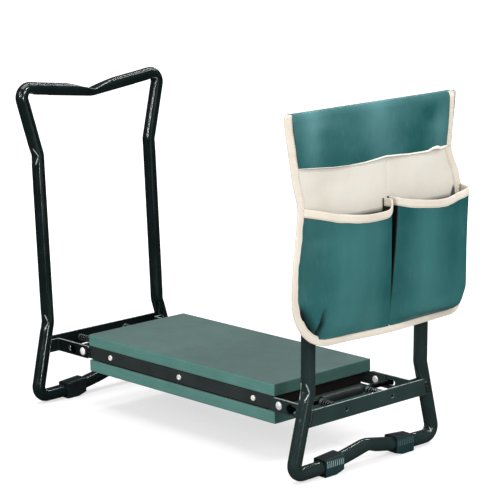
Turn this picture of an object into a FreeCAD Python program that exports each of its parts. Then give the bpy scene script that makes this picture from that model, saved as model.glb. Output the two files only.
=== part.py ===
import FreeCAD, Part
import math
import os
from FreeCAD import Vector as V

# Folding garden kneeler and seat, standing as a kneeler: pads low, leg frames upright as handles.
# Frame: millimetres, +Z up, +X along the seat, origin on the floor under the seat's centre.
# The left leg frame stands at -X, the right one (with the tool pouch) at +X, the front is -Y.
# Heights are drawn from a datum LIFT above the floor; save() raises every shape by LIFT,
# so the files have Z = 0 on the floor.

os.makedirs("parts", exist_ok=True)

LIFT = 9.5
SIDES = (("left", -1), ("right", 1))
ALONG_X = (1, 0, 0)
ALONG_Y = (0, 1, 0)
ALONG_Z = (0, 0, 1)

# ---------------------------------------------------------------- shared dimensions
# seat pivots, and the bands centred on their height
PIVOT_X = 220.0
PIVOT_Z = 79.4
RAIL_Z = (PIVOT_Z - 9.5, PIVOT_Z + 9.5)
ARM_Z = (PIVOT_Z - 9.75, PIVOT_Z + 9.75)
CROSS_Z = (PIVOT_Z - 11.5, PIVOT_Z + 11.5)

# layers outward from the seat board's long edge, as |y|
RAIL_Y = (92.4, 94.4)
WASHER_Y = (RAIL_Y[1], RAIL_Y[1] + 1.0)
ARM_Y = (95.45, 98.0)
CUTTER_Y = (80.0, 110.0)  # span of the cutters that pass through rail or arm

RIVET_R = 3.0
RIVET_HOLE_R = 3.05

# leg frame and its cross rail
LEG_PLANE_X = 290.0       # at the pivot's height
LEG_LEAN_DEG = 1.7        # tops lean away from each other
LEAN = math.radians(LEG_LEAN_DEG)
CROSS_X = (296.5, 299.0)

# lock rod and its guide pins
ROD_X = 243.0
ROD_R = 4.0
GUIDE_Y = 45.0


# ---------------------------------------------------------------- helpers
def box(x0, x1, y0, y1, z0, z1):
    return Part.makeBox(abs(x1 - x0), abs(y1 - y0), abs(z1 - z0),
                        V(min(x0, x1), min(y0, y1), min(z0, z1)))


def cylinder(start, direction, radius, length):
    return Part.makeCylinder(radius, length, V(*start), V(*direction))


def y_cylinder(x, y, radius, length):
    """Cylinder at the pivot's height, running from y towards +Y."""
    return cylinder((x, y, PIVOT_Z), ALONG_Y, radius, length)


def x_cylinder(x, y, radius, length):
    """Cylinder at the pivot's height, running from x towards +X."""
    return cylinder((x, y, PIVOT_Z), ALONG_X, radius, length)


def drill(x, radius):
    """Cutter along Y through the rear rail or arm."""
    return y_cylinder(x, CUTTER_Y[0], radius, CUTTER_Y[1] - CUTTER_Y[0])


def prism(points, extrusion):
    """Closed polygon of vectors, extruded."""
    return Part.Face(Part.makePolygon(points + points[:1])).extrude(extrusion)


def edges_at(edges, axis, position):
    """The edges that lie wholly at one position along an axis ("X" or "Y")."""
    return [e for e in edges
            if abs(getattr(e.BoundBox, axis + "Min") - position) < 1e-4
            and abs(getattr(e.BoundBox, axis + "Max") - position) < 1e-4]


def mirror_x(shape):
    return shape.mirror(V(0, 0, 0), V(1, 0, 0))


def mirror_y(shape):
    return shape.mirror(V(0, 0, 0), V(0, 1, 0))


def clean(shape):
    """One solid as itself, several as a compound; slivers are dropped."""
    shape = shape.removeSplitter() if shape.Solids else shape
    solids = [solid for solid in shape.Solids if solid.Volume > 0.05]
    return solids[0] if len(solids) == 1 else Part.makeCompound(solids)


def largest(shape):
    return max(shape.Solids, key=lambda solid: solid.Volume)


def group(shapes):
    return Part.makeCompound([solid for shape in shapes for solid in shape.Solids])


def save(name, shape):
    shape = shape.copy()
    shape.translate(V(0, 0, LIFT))
    shape.exportStep("parts/%s.step" % name)


def save_both_sides(name, right_shape):
    save("left_" + name, mirror_x(right_shape))
    save("right_" + name, right_shape)


# ---------------------------------------------------------------- pads and board
PAD_HALF_L = 208.0        # along X
PAD_HALF_W = 95.2         # along Y
PAD_T = 18.0
PAD_EDGE_R = 1.5
BOARD_HALF_L = 190.0      # set back from the pads' ends
BOARD_HALF_W = RAIL_Y[0]
BOARD_Z = (67.8, 89.4)    # fills the gap between the pads

SCREW_X = (-156.0, 4.0, 164.0)
SCREW_R = 2.0
BOARD_HOLE_R = SCREW_R + 0.03
BOARD_HOLE_DEPTH = 24.0


def pad(bottom_z):
    body = box(-PAD_HALF_L, PAD_HALF_L, -PAD_HALF_W, PAD_HALF_W, bottom_z, bottom_z + PAD_T)
    return body.makeFillet(PAD_EDGE_R, body.Edges)


def seat_board():
    board = box(-BOARD_HALF_L, BOARD_HALF_L, -BOARD_HALF_W, BOARD_HALF_W, *BOARD_Z)
    for x in SCREW_X:
        for side in (-1, 1):
            board = board.cut(cylinder((x, side * BOARD_HALF_W, PIVOT_Z), (0, -side, 0),
                                       BOARD_HOLE_R, BOARD_HOLE_DEPTH))
    return board


save("upper_foam_pad", pad(BOARD_Z[1]))
save("lower_foam_pad", pad(BOARD_Z[0] - PAD_T))
save("seat_board", seat_board())

# ---------------------------------------------------------------- side rails (drawn as the rear one)
RAIL_END_X = 247.0        # tip of the lower fork prong
RAIL_CUT_X = RAIL_END_X + 5
RAIL_SCREW_HOLE_R = SCREW_R + 0.05
NOTCH_R = 4.15            # notch the lock rod sits in
UPPER_PRONG_R = 18.6      # about the pivot; the upper prong ends inside the rod's path


def rear_side_rail():
    """Strip with a forked end round each lock rod."""
    rail = box(-RAIL_END_X, RAIL_END_X, *RAIL_Y, *RAIL_Z)
    for side in (-1, 1):
        pivot_x = side * PIVOT_X
        rod_x = side * ROD_X
        end_x = side * RAIL_CUT_X
        rail = rail.cut(drill(pivot_x, RIVET_HOLE_R))
        rail = rail.cut(drill(rod_x, NOTCH_R))
        rail = rail.cut(box(rod_x, end_x, *CUTTER_Y, PIVOT_Z - NOTCH_R, PIVOT_Z + NOTCH_R))
        # round the upper prong's nose about the pivot
        block = box(pivot_x, end_x, *CUTTER_Y, PIVOT_Z, RAIL_Z[1] + 5)
        nose = y_cylinder(pivot_x, CUTTER_Y[0] - 1, UPPER_PRONG_R, 32)
        rail = rail.cut(block.cut(nose))
    for x in SCREW_X:
        rail = rail.cut(drill(x, RAIL_SCREW_HOLE_R))
    return clean(rail)


rear_rail = rear_side_rail()
save("rear_side_rail", rear_rail)
save("front_side_rail", mirror_y(rear_rail))

# ---------------------------------------------------------------- rail screws
SCREW_L = 25.0            # from the rail's outer face to the tip
SCREW_TIP_L = 3.0
SCREW_TIP_R = 0.4
SCREW_HEAD_R = 4.1
SCREW_HEAD_H = 2.4
SCREW_HEAD_EDGE_R = 1.3
RECESS_HALF_L = 2.2       # cross recess in the head
RECESS_HALF_W = 0.45
RECESS_DEPTH = 0.9


def screw(x):
    """Pan-head screw, axis along Y, head outside the rear rail."""
    seat_y = RAIL_Y[1]
    top_y = seat_y + SCREW_HEAD_H
    shank_l = SCREW_L - SCREW_TIP_L
    shank = y_cylinder(x, seat_y - shank_l, SCREW_R, shank_l + 0.5)
    tip = Part.makeCone(SCREW_TIP_R, SCREW_R, SCREW_TIP_L,
                        V(x, seat_y - SCREW_L, PIVOT_Z), V(0, 1, 0))
    head = y_cylinder(x, seat_y, SCREW_HEAD_R, SCREW_HEAD_H)
    head = head.makeFillet(SCREW_HEAD_EDGE_R, edges_at(head.Edges, "Y", top_y))
    body = head.fuse(shank).fuse(tip)
    for half_x, half_z in ((RECESS_HALF_L, RECESS_HALF_W), (RECESS_HALF_W, RECESS_HALF_L)):
        body = body.cut(box(x - half_x, x + half_x, top_y - RECESS_DEPTH, seat_y + 10,
                            PIVOT_Z - half_z, PIVOT_Z + half_z))
    return clean(body)


rear_screws = group([screw(x) for x in SCREW_X])
save("rear_rail_screws", rear_screws)
save("front_rail_screws", mirror_y(rear_screws))

# ---------------------------------------------------------------- pivot rivets and washers
RIVET_GAP = 0.05          # between each head and the metal it holds
RIVET_OVERLAP = 0.5       # the shank runs this far into each head
RIVET_HEAD_R = 6.0
RIVET_RIM_H = 0.7
RIVET_DOME_H = 2.6
RIVET_TAIL_R = 5.2
RIVET_TAIL_H = 2.2
RIVET_TAIL_EDGE_R = 1.2
WASHER_R = 7.5


def rivet(x):
    """Rivet through the rear rail, washer and arm, with a domed outer head."""
    outer_y = ARM_Y[1] + RIVET_GAP
    inner_y = RAIL_Y[0] - RIVET_GAP
    shank = y_cylinder(x, inner_y - RIVET_OVERLAP, RIVET_R,
                       outer_y - inner_y + 2 * RIVET_OVERLAP)
    dome_y = outer_y + RIVET_RIM_H
    sphere_r = (RIVET_HEAD_R ** 2 + RIVET_DOME_H ** 2) / (2 * RIVET_DOME_H)
    dome = Part.makeSphere(sphere_r, V(x, dome_y + RIVET_DOME_H - sphere_r, PIVOT_Z))
    dome = dome.common(box(x - 10, x + 10, dome_y, outer_y + 10, PIVOT_Z - 10, PIVOT_Z + 10))
    rim = y_cylinder(x, outer_y, RIVET_HEAD_R, RIVET_RIM_H)
    tail_y = inner_y - RIVET_TAIL_H
    tail = y_cylinder(x, tail_y, RIVET_TAIL_R, RIVET_TAIL_H)
    tail = tail.makeFillet(RIVET_TAIL_EDGE_R, edges_at(tail.Edges, "Y", tail_y))
    return clean(rim.fuse(dome).fuse(shank).fuse(tail))


def washer(x):
    disc = y_cylinder(x, WASHER_Y[0], WASHER_R, WASHER_Y[1] - WASHER_Y[0])
    return disc.cut(drill(x, RIVET_HOLE_R))


for side_name, side in SIDES:
    for name, make in (("rivets", rivet), ("washers", washer)):
        rear = make(side * PIVOT_X)
        save("%s_pivot_%s" % (side_name, name), group([rear, mirror_y(rear)]))

# ---------------------------------------------------------------- leg tube (drawn as the right one)
TUBE_R = 10.0
TUBE_WALL = 1.2
# centre line of one half, as (|y|, height) in the upright leg plane
TOP_DIP = (0.0, 466.0)
TOP_CORNER = (137.0, 482.2)
WAIST = (110.0, 377.0)
LOWER_BEND = (110.0, 116.0)
BASE_CORNER = (138.5, 2.0)
BASE_KNEE = (72.0, 2.5)   # the base bar is near level outside this point, arched inside it
BASE_ARCH = (0.0, 16.0)
# bend radii
R_CENTRE = 40.0
R_CORNER = 14.0
R_KNEE = 40.0
R_WAIST = 32.0
DRAIN_R = 2.0
WELD_GAP = 0.02           # keeps welded pieces from sharing space with the tube


def lean(shape):
    """Lean a shape that was drawn in the upright right-hand leg plane."""
    out = shape.copy()
    out.rotate(V(LEG_PLANE_X, 0, PIVOT_Z), V(0, 1, 0), LEG_LEAN_DEG)
    return out


def leg_x_at(z):
    """X of the leaning leg plane at a height."""
    return LEG_PLANE_X + (z - PIVOT_Z) * math.tan(LEAN)


def leg_point(point):
    return V(LEG_PLANE_X, *point)


def rounded_path(points, radii):
    """Edges of a polyline with its inner vertices rounded."""
    edges = []
    here = points[0]
    for before, corner, after, radius in zip(points, points[1:], points[2:], radii):
        to_before = (before - corner).normalize()
        to_after = (after - corner).normalize()
        half_angle = to_before.getAngle(to_after) / 2
        setback = radius / math.tan(half_angle)
        arc_start = corner + to_before * setback
        arc_end = corner + to_after * setback
        bisector = (to_before + to_after).normalize()
        arc_mid = corner + bisector * (radius / math.sin(half_angle) - radius)
        edges.append(Part.makeLine(here, arc_start))
        edges.append(Part.Arc(arc_start, arc_mid, arc_end).toShape())
        here = arc_end
    edges.append(Part.makeLine(here, points[-1]))
    return edges


def centre_bend(centre, corner, radius):
    """Half bend of a bar, from the symmetry plane to its tangent point: start, mid, end."""
    angle = math.atan2(corner[1] - centre[1], corner[0] - centre[0])
    sign = 1 if angle > 0 else -1
    arc_centre_z = centre[1] + sign * radius / math.cos(angle)
    return [leg_point((radius * math.sin(turn), arc_centre_z - sign * radius * math.cos(turn)))
            for turn in (0.0, abs(angle) / 2, abs(angle))]


def loop(radius):
    """Solid round bar along the whole leg frame, leaning."""
    top = centre_bend(TOP_DIP, TOP_CORNER, R_CENTRE)
    base = centre_bend(BASE_ARCH, BASE_KNEE, R_CENTRE)
    corners = (TOP_CORNER, WAIST, LOWER_BEND, BASE_CORNER, BASE_KNEE)
    points = [top[2]] + [leg_point(corner) for corner in corners] + [base[2]]
    path = [Part.Arc(*top).toShape()]
    path += rounded_path(points, (R_CORNER, R_WAIST, R_WAIST, R_CORNER, R_KNEE))
    path += [Part.Arc(*base[::-1]).toShape()]
    ring = Part.Wire(Part.makeCircle(radius, top[0], V(0, 1, 0)))
    half = Part.Wire(path).makePipeShell([ring], True, False)
    return lean(half.fuse(mirror_y(half)).removeSplitter())


def leg_tube():
    base_z = BASE_ARCH[1]
    drain = cylinder((leg_x_at(base_z), 0, base_z - 12), ALONG_Z, DRAIN_R, 8)
    return clean(loop(TUBE_R).cut(loop(TUBE_R - TUBE_WALL)).cut(drain))


save_both_sides("leg_tube", leg_tube())
tube_trim = loop(TUBE_R + WELD_GAP)

# ---------------------------------------------------------------- hinge arms (drawn as right rear)
ARM_IN_X = 205.6
ARM_FLANGE_X = (281.0, 283.5)
ARM_BEND_R = (1.5, 4.0)   # inside and outside of the flange's bend
ARM_END_R = 5.0
SLOT_HALF_H = 4.2
SLOT_X = (ROD_X, 251.0)   # centres of the slot's round ends
CROSS_HALF_Y = 118.0      # reach of the flanges and of the cross rail


def rear_hinge_arm():
    """Flat strip with a short flange turned out to the tube."""
    profile = [(ARM_IN_X, ARM_Y[0]), (ARM_FLANGE_X[1], ARM_Y[0]),
               (ARM_FLANGE_X[1], CROSS_HALF_Y), (ARM_FLANGE_X[0], CROSS_HALF_Y),
               (ARM_FLANGE_X[0], ARM_Y[1]), (ARM_IN_X, ARM_Y[1])]
    arm = prism([V(x, y, ARM_Z[0]) for x, y in profile], V(0, 0, ARM_Z[1] - ARM_Z[0]))
    for radius, x, y in ((ARM_BEND_R[1], ARM_FLANGE_X[1], ARM_Y[0]),
                         (ARM_BEND_R[0], ARM_FLANGE_X[0], ARM_Y[1])):
        arm = arm.makeFillet(radius, edges_at(edges_at(arm.Edges, "X", x), "Y", y))
    end_corners = [e for e in edges_at(arm.Edges, "X", ARM_IN_X) if e.BoundBox.YLength > 2]
    arm = arm.makeFillet(ARM_END_R, end_corners)
    arm = arm.cut(drill(PIVOT_X, RIVET_HOLE_R))
    for x in SLOT_X:
        arm = arm.cut(drill(x, SLOT_HALF_H))
    arm = arm.cut(box(*SLOT_X, *CUTTER_Y, PIVOT_Z - SLOT_HALF_H, PIVOT_Z + SLOT_HALF_H))
    return clean(arm.cut(tube_trim))


rear_arm = rear_hinge_arm()
save_both_sides("rear_hinge_arm", rear_arm)
save_both_sides("front_hinge_arm", mirror_y(rear_arm))

# ---------------------------------------------------------------- cross rail
GUIDE_HOLE_R = 3.0


def cross_rail():
    """Strip between the tube's two uprights, with a hole for each guide pin."""
    rail = box(*CROSS_X, -CROSS_HALF_Y, CROSS_HALF_Y, *CROSS_Z)
    for side in (-1, 1):
        rail = rail.cut(x_cylinder(CROSS_X[0] - 5, side * GUIDE_Y, GUIDE_HOLE_R, 20))
    return clean(rail.cut(tube_trim))


cross = cross_rail()
save_both_sides("cross_rail", cross)

# ---------------------------------------------------------------- weld beads
# the beads follow the flared tube; offsets are from its centre line at the pivot's height
FLARE = (LOWER_BEND[0] - BASE_CORNER[0]) / (LOWER_BEND[1] - BASE_CORNER[1])
TUBE_Y_AT_PIVOT = LOWER_BEND[0] + (PIVOT_Z - LOWER_BEND[1]) * FLARE
BEAD_DIRECTION = V(math.sin(LEAN), FLARE, 1.0).normalize()


def bead(offset_x, offset_y, radius, length, host):
    """Round-ended bar cut back to the corner between the tube and its host."""
    middle = V(LEG_PLANE_X + offset_x, TUBE_Y_AT_PIVOT + offset_y, PIVOT_Z)
    start = middle - BEAD_DIRECTION * (length / 2)
    bar = Part.makeCylinder(radius, length, start, BEAD_DIRECTION)
    for end in (start, start + BEAD_DIRECTION * length):
        bar = bar.fuse(Part.makeSphere(radius, end))
    return largest(bar.cut(tube_trim).cut(host))


rear_beads = [bead(offset_x=8.95, offset_y=-4.95, radius=2.1, length=17.0, host=cross),
              bead(offset_x=-9.25, offset_y=-4.4, radius=1.9, length=14.0, host=rear_arm)]
save_both_sides("weld_beads", group(rear_beads + [mirror_y(b) for b in rear_beads]))

# ---------------------------------------------------------------- foot sleeves (drawn as right rear)
# outline of the block as (|y|, height) in the upright leg plane
FOOT_OUTLINE = [(52.0, -5.8), (66.0, -9.95), (87.0, -9.95), (87.0, 15.2), (52.0, 18.2)]
FOOT_HALF_X = 12.2
FOOT_EDGE_R = 3.0
FOOT_BORE_R = TUBE_R + 0.05
FOOT_RIBS = 9
FOOT_RIB_PITCH = 3.6
FOOT_RIB_FIRST = 55.2
FOOT_RIB_HALF_W = 0.7
FOOT_RIB_SINK = 1.0
FOOT_RIB_PROUD = 0.8
FOOT_RIB_Z = (4.0, 13.0)
FOOT_RIB_SLOPE = 0.085    # rib tops fall with the block's top


def foot_sleeve():
    """Squared rubber block round the base bar, ribbed on its outboard face."""
    body = prism([V(LEG_PLANE_X - FOOT_HALF_X, y, z) for y, z in FOOT_OUTLINE],
                 V(2 * FOOT_HALF_X, 0, 0))
    # rims of both side faces, apart from their upright edges
    rims = [e for e in body.Edges
            if abs(e.BoundBox.XLength) < 1e-6 and e.BoundBox.YLength > 5]
    body = body.makeFillet(FOOT_EDGE_R, rims)
    face_x = LEG_PLANE_X + FOOT_HALF_X
    for k in range(FOOT_RIBS):
        y = FOOT_RIB_FIRST + k * FOOT_RIB_PITCH
        top_z = FOOT_RIB_Z[1] - FOOT_RIB_SLOPE * (y - FOOT_OUTLINE[0][0])
        body = body.fuse(box(face_x - FOOT_RIB_SINK, face_x + FOOT_RIB_PROUD,
                             y - FOOT_RIB_HALF_W, y + FOOT_RIB_HALF_W, FOOT_RIB_Z[0], top_z))
    # the block follows the leg's lean, and is then cut level with the floor
    body = lean(body).cut(loop(FOOT_BORE_R))
    return clean(body.cut(box(200, 400, 0, 200, -60, -LIFT)))


rear_foot = foot_sleeve()
save_both_sides("rear_foot_sleeve", rear_foot)
save_both_sides("front_foot_sleeve", mirror_y(rear_foot))

# ---------------------------------------------------------------- lock (drawn as the right one)
SLIDE_GAP = 0.03          # clearance of a hole round the rod or a spigot
ROD_HALF_L = ARM_Y[1] + 0.15
ROD_HEAD_R = 6.8          # flat head outside the arm, wider than the slot
ROD_HEAD_T = 1.4
ROD_HEAD_EDGE_R = 0.6
GRIP_R = 6.2
GRIP_HALF_L = 38.5
GRIP_EDGE_R = 1.2
PIN_R = 2.4
PIN_CHAMFER = 0.5
PIN_START_X = ROD_X + ROD_R + 0.6
PIN_END_X = CROSS_X[1] - 0.6
PIN_SPIGOT_R = 1.7
PIN_SPIGOT_L = 6.0
PIN_FLANGE_R = 5.0
PIN_FLANGE_T = 0.7
SPRING_MEAN_R = 4.6
SPRING_WIRE_R = 0.8
SPRING_X = (248.0, 296.3)
SPRING_TURNS = 12.0


def rod_bore():
    return y_cylinder(ROD_X, -60, ROD_R + SLIDE_GAP, 120)


def lock_rod():
    rod = y_cylinder(ROD_X, -ROD_HALF_L, ROD_R, 2 * ROD_HALF_L)
    for side in (-1, 1):
        head = cylinder((ROD_X, side * ROD_HALF_L, PIVOT_Z), (0, side, 0),
                        ROD_HEAD_R, ROD_HEAD_T)
        rim = edges_at(head.Edges, "Y", side * (ROD_HALF_L + ROD_HEAD_T))
        rod = rod.fuse(head.makeFillet(ROD_HEAD_EDGE_R, rim))
    for side in (-1, 1):
        rod = rod.cut(x_cylinder(ROD_X - 1.0, side * GUIDE_Y, PIN_SPIGOT_R + SLIDE_GAP, 10))
    return clean(rod)


def lock_grip():
    grip = y_cylinder(ROD_X, -GRIP_HALF_L, GRIP_R, 2 * GRIP_HALF_L)
    rims = [e for e in grip.Edges if e.Curve.TypeId == "Part::GeomCircle"]
    return clean(grip.makeFillet(GRIP_EDGE_R, rims).cut(rod_bore()))


def guide_pin(y):
    """Pin from the rod to the cross rail, with a flange the spring bears on."""
    spigot = x_cylinder(ROD_X - 0.9, y, PIN_SPIGOT_R, PIN_SPIGOT_L)
    body = x_cylinder(PIN_START_X, y, PIN_R, PIN_END_X - PIN_START_X)
    body = body.makeChamfer(PIN_CHAMFER, edges_at(body.Edges, "X", PIN_END_X))
    flange = x_cylinder(ROD_X + ROD_R + 0.2, y, PIN_FLANGE_R, PIN_FLANGE_T).cut(rod_bore())
    return clean(body.fuse(spigot).fuse(flange))


def spring(y):
    height = SPRING_X[1] - SPRING_X[0] - 2 * SPRING_WIRE_R
    helix = Part.makeHelix(height / SPRING_TURNS, height, SPRING_MEAN_R)
    ring = Part.Wire(Part.makeCircle(SPRING_WIRE_R, V(SPRING_MEAN_R, 0, 0), V(0, 1, 0)))
    coil = Part.Wire(helix.Edges).makePipeShell([ring], True, True)
    coil.rotate(V(0, 0, 0), V(0, 1, 0), 90)
    coil.translate(V(SPRING_X[0] + SPRING_WIRE_R, y, PIVOT_Z))
    return coil


save_both_sides("lock_rod", lock_rod())
save_both_sides("lock_grip", lock_grip())
save_both_sides("spring_guide_pins", group([guide_pin(GUIDE_Y), guide_pin(-GUIDE_Y)]))
save_both_sides("lock_springs", group([spring(GUIDE_Y), spring(-GUIDE_Y)]))

# ---------------------------------------------------------------- tool pouch on the right frame
# layers outward along X; left and right are as seen from outside, where +Y is to the right
PANEL_X = (314.0, 315.5)
BIND_X = (315.52, 316.4)
FLAP_X = (315.55, 316.9)
PANEL_TOP_Z = 496.5
FLAP_BOTTOM_Z = 424.0

# hanging sleeve
TUBE_TOP_Z = 490.0
SHOULDER_Z = TUBE_TOP_Z - 3.4
SLEEVE_TOP_Z = 498.8      # the sleeve's ridge stands a little above the tube
SLEEVE_T = 1.5
SLEEVE_SLOPE_T = SLEEVE_T * 1.13   # upright thickness of the sloping top
SLEEVE_BAR_GAP = 1.4
SLEEVE_INNER_OFFSET = 12.2
SLEEVE_FRONT_X = 313.6
# plan as (x, y): wide at its outer fold, narrower inboard of the bar
SLEEVE_PLAN = [(270, -130.0), (294, -130.0), (313.0, -164.0), (320, -164.0),
               (320, 160.0), (313.0, 160.0), (294, 130.0), (270, 130.0)]


def hanging_sleeve():
    """Fabric that hooks over the top bar, open at the bottom."""
    low_x = leg_x_at(FLAP_BOTTOM_Z) - SLEEVE_INNER_OFFSET
    shoulder_x = leg_x_at(SHOULDER_Z) - SLEEVE_INNER_OFFSET
    bar_x = leg_x_at(TUBE_TOP_Z)
    bar_z = TUBE_TOP_Z + SLEEVE_BAR_GAP
    profile = [(low_x, FLAP_BOTTOM_Z), (shoulder_x, SHOULDER_Z + 0.9),
               (bar_x, bar_z + SLEEVE_SLOPE_T), (SLEEVE_FRONT_X, SLEEVE_TOP_Z),
               (SLEEVE_FRONT_X, SLEEVE_TOP_Z - SLEEVE_SLOPE_T), (bar_x, bar_z),
               (shoulder_x + SLEEVE_T, SHOULDER_Z), (low_x + SLEEVE_T, FLAP_BOTTOM_Z)]
    sleeve = prism([V(x, -170, z) for x, z in profile], V(0, 340, 0))
    plan = prism([V(x, y, 400) for x, y in SLEEVE_PLAN], V(0, 0, 120))
    return clean(sleeve.common(plan))


save("pouch_hanging_sleeve", hanging_sleeve())

# back panel outline as (y, z): down the left edge, then up the right one
LEFT_EDGE = [
    (-166.0, PANEL_TOP_Z), (-164.5, 476.0), (-161.0, 455.0), (-157.5, 432.0), (-154.0, 410.0),
    (-149.0, 391.0), (-145.5, 378.0), (-145.3, 366.0), (-148.0, 350.0), (-151.0, 329.0),
    (-154.0, 307.0), (-156.5, 284.0), (-158.3, 261.0), (-158.5, 245.0), (-156.5, 231.0),
    (-150.5, 216.0), (-141.5, 203.0), (-128.5, 192.0), (-114.0, 185.0), (-98.0, 181.5)]
RIGHT_EDGE = [
    (152.0, 181.5), (162.0, 187.5), (168.0, 197.0), (171.0, 208.0), (172.5, 225.0),
    (172.5, 250.0), (171.5, 300.0), (169.5, 350.0), (167.5, 369.0), (162.0, 389.0),
    (155.0, 404.0), (151.0, 413.0), (149.5, 424.0), (152.0, 437.0), (156.0, 458.0),
    (159.5, 477.0), (162.0, PANEL_TOP_Z)]


def sheet(outline, x0, x1):
    """Flat sheet between two X positions, outline as (y, z)."""
    return prism([V(x0, y, z) for y, z in outline], V(x1 - x0, 0, 0))


save("pouch_back_panel", clean(sheet(LEFT_EDGE + RIGHT_EDGE, *PANEL_X)))

# pockets
POCKET_TOP_Z = 356.0
POCKET_BOTTOM_Z = 193.0
POCKET_T = 1.6
POCKET_BACK_X = BIND_X[1] + 0.02
POCKET_SKEW = 0.25        # deeper towards +Y
SECTION_STEPS = 14


def pocket_section(z, y0, y1, depth):
    """D-shaped section: straight at the panel, swelling outward."""
    points = []
    for k in range(SECTION_STEPS + 1):
        t = k / SECTION_STEPS
        angle = math.pi * t
        bulge = math.sin(angle) ** 0.45
        across = math.copysign(abs(math.cos(angle)) ** 0.75, math.cos(angle))
        y = y0 + (y1 - y0) * (0.5 - 0.5 * across)
        x = POCKET_BACK_X + depth * bulge * (1.0 + POCKET_SKEW * (t - 0.5))
        points.append(V(x, y, z))
    return Part.makePolygon(points + points[:1])


def pocket(y0, y1, depth):
    """Open-topped shell lofted through D-shaped sections."""
    # height, depth there, inset of each side
    levels = [(POCKET_BOTTOM_Z, 3.0, 8.0),
              (POCKET_BOTTOM_Z + 12, 0.48 * depth, 4.0),
              (POCKET_BOTTOM_Z + 55, 0.82 * depth, 1.0),
              (POCKET_BOTTOM_Z + 110, 0.96 * depth, 0.0),
              (POCKET_TOP_Z, depth, 0.0)]
    outer = Part.makeLoft([pocket_section(z, y0 + side, y1 - side, level_depth)
                           for z, level_depth, side in levels], True, True)
    # the hollow starts above the floor and runs out through the top
    rises = [POCKET_T, 0, 0, 0, 5]
    hollow = Part.makeLoft([pocket_section(z + rise, y0 + side + POCKET_T, y1 - side - POCKET_T,
                                           max(level_depth - POCKET_T, 1.2))
                            for (z, level_depth, side), rise in zip(levels, rises)], True, True)
    # a second cut, moved inboard, opens the pocket's back
    hollow_back = hollow.copy()
    hollow_back.translate(V(-0.5, 0, 0))
    return clean(outer.cut(hollow).cut(hollow_back))


save("pouch_left_pocket", pocket(y0=-142.0, y1=19.0, depth=22.5))
save("pouch_right_pocket", pocket(y0=22.0, y1=168.0, depth=24.5))

# binding tape and front flap
BIND_W = 10.0
BIND_BOTTOM_Z = 205.0     # outline points below this are also inset upward
BIND_TOP_GAP_Y = (-154.4, 149.4)   # the top is cleared between these
# flap outline as (y, z)
FLAP_OUTLINE = [(-146.0, FLAP_BOTTOM_Z), (138.0, FLAP_BOTTOM_Z),
                (150.5, PANEL_TOP_Z), (-154.0, PANEL_TOP_Z)]


def inset(edge, inward):
    """The same edge moved inward (+1 or -1 along Y) by the binding's width."""
    return [(y + inward * BIND_W, z + (BIND_W if z < BIND_BOTTOM_Z else 0.0)) for y, z in edge]


def edge_binding():
    """Tape round the panel's sides and bottom."""
    ring = sheet(LEFT_EDGE + RIGHT_EDGE, *BIND_X)
    opening = sheet(inset(LEFT_EDGE, 1) + inset(RIGHT_EDGE, -1), BIND_X[0] - 1, BIND_X[0] + 4)
    opening = opening.fuse(box(BIND_X[0] - 1, BIND_X[1] + 1, *BIND_TOP_GAP_Y,
                               PANEL_TOP_Z - 10, PANEL_TOP_Z + 5))
    return clean(ring.cut(opening))


binding = edge_binding()
save("pouch_edge_binding", binding)

# the flap hangs over the top of the panel between the side bindings
save("pouch_front_flap", largest(sheet(FLAP_OUTLINE, *FLAP_X).cut(binding)))
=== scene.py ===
# A folding kneeling seat: a padded board between two tube legs, with a tool pouch hung
# from the top bar of the right leg.
# X runs from the left leg (-X) to the right leg (+X), Y along each leg's width, Z up.
# Shapes are drawn in millimetres from a datum LIFT above the floor; the scene is in metres.
import bmesh
import bpy
import itertools
import math
import numpy as np
from mathutils import Matrix, Vector

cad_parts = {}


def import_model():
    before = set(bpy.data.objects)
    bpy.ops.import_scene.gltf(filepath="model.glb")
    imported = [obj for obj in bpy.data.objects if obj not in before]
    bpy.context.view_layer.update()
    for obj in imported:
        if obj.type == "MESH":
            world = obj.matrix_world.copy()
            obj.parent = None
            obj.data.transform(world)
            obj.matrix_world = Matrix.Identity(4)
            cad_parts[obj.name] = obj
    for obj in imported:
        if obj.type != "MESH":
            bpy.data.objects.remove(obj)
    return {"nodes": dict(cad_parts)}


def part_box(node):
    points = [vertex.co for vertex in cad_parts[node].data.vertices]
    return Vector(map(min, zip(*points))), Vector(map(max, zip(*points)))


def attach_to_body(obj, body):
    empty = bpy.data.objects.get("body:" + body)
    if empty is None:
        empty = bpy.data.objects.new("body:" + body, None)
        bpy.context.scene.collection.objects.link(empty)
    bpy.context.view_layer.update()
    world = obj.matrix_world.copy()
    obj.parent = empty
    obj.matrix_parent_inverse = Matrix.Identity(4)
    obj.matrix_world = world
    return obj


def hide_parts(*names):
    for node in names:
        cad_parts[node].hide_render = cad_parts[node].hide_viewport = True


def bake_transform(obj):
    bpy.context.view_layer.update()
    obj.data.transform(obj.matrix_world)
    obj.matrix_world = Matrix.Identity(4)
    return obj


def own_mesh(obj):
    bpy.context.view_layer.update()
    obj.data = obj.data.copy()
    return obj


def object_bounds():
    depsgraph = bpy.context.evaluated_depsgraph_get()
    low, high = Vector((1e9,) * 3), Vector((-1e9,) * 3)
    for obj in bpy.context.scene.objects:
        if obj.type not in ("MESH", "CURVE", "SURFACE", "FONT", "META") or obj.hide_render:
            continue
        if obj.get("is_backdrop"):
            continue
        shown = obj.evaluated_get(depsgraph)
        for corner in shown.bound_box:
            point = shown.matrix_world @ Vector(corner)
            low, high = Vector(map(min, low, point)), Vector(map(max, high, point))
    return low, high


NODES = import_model()["nodes"]
CAD_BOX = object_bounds()
MM = 0.001
LIFT = 9.5          # height of the drawing datum above the floor


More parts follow.
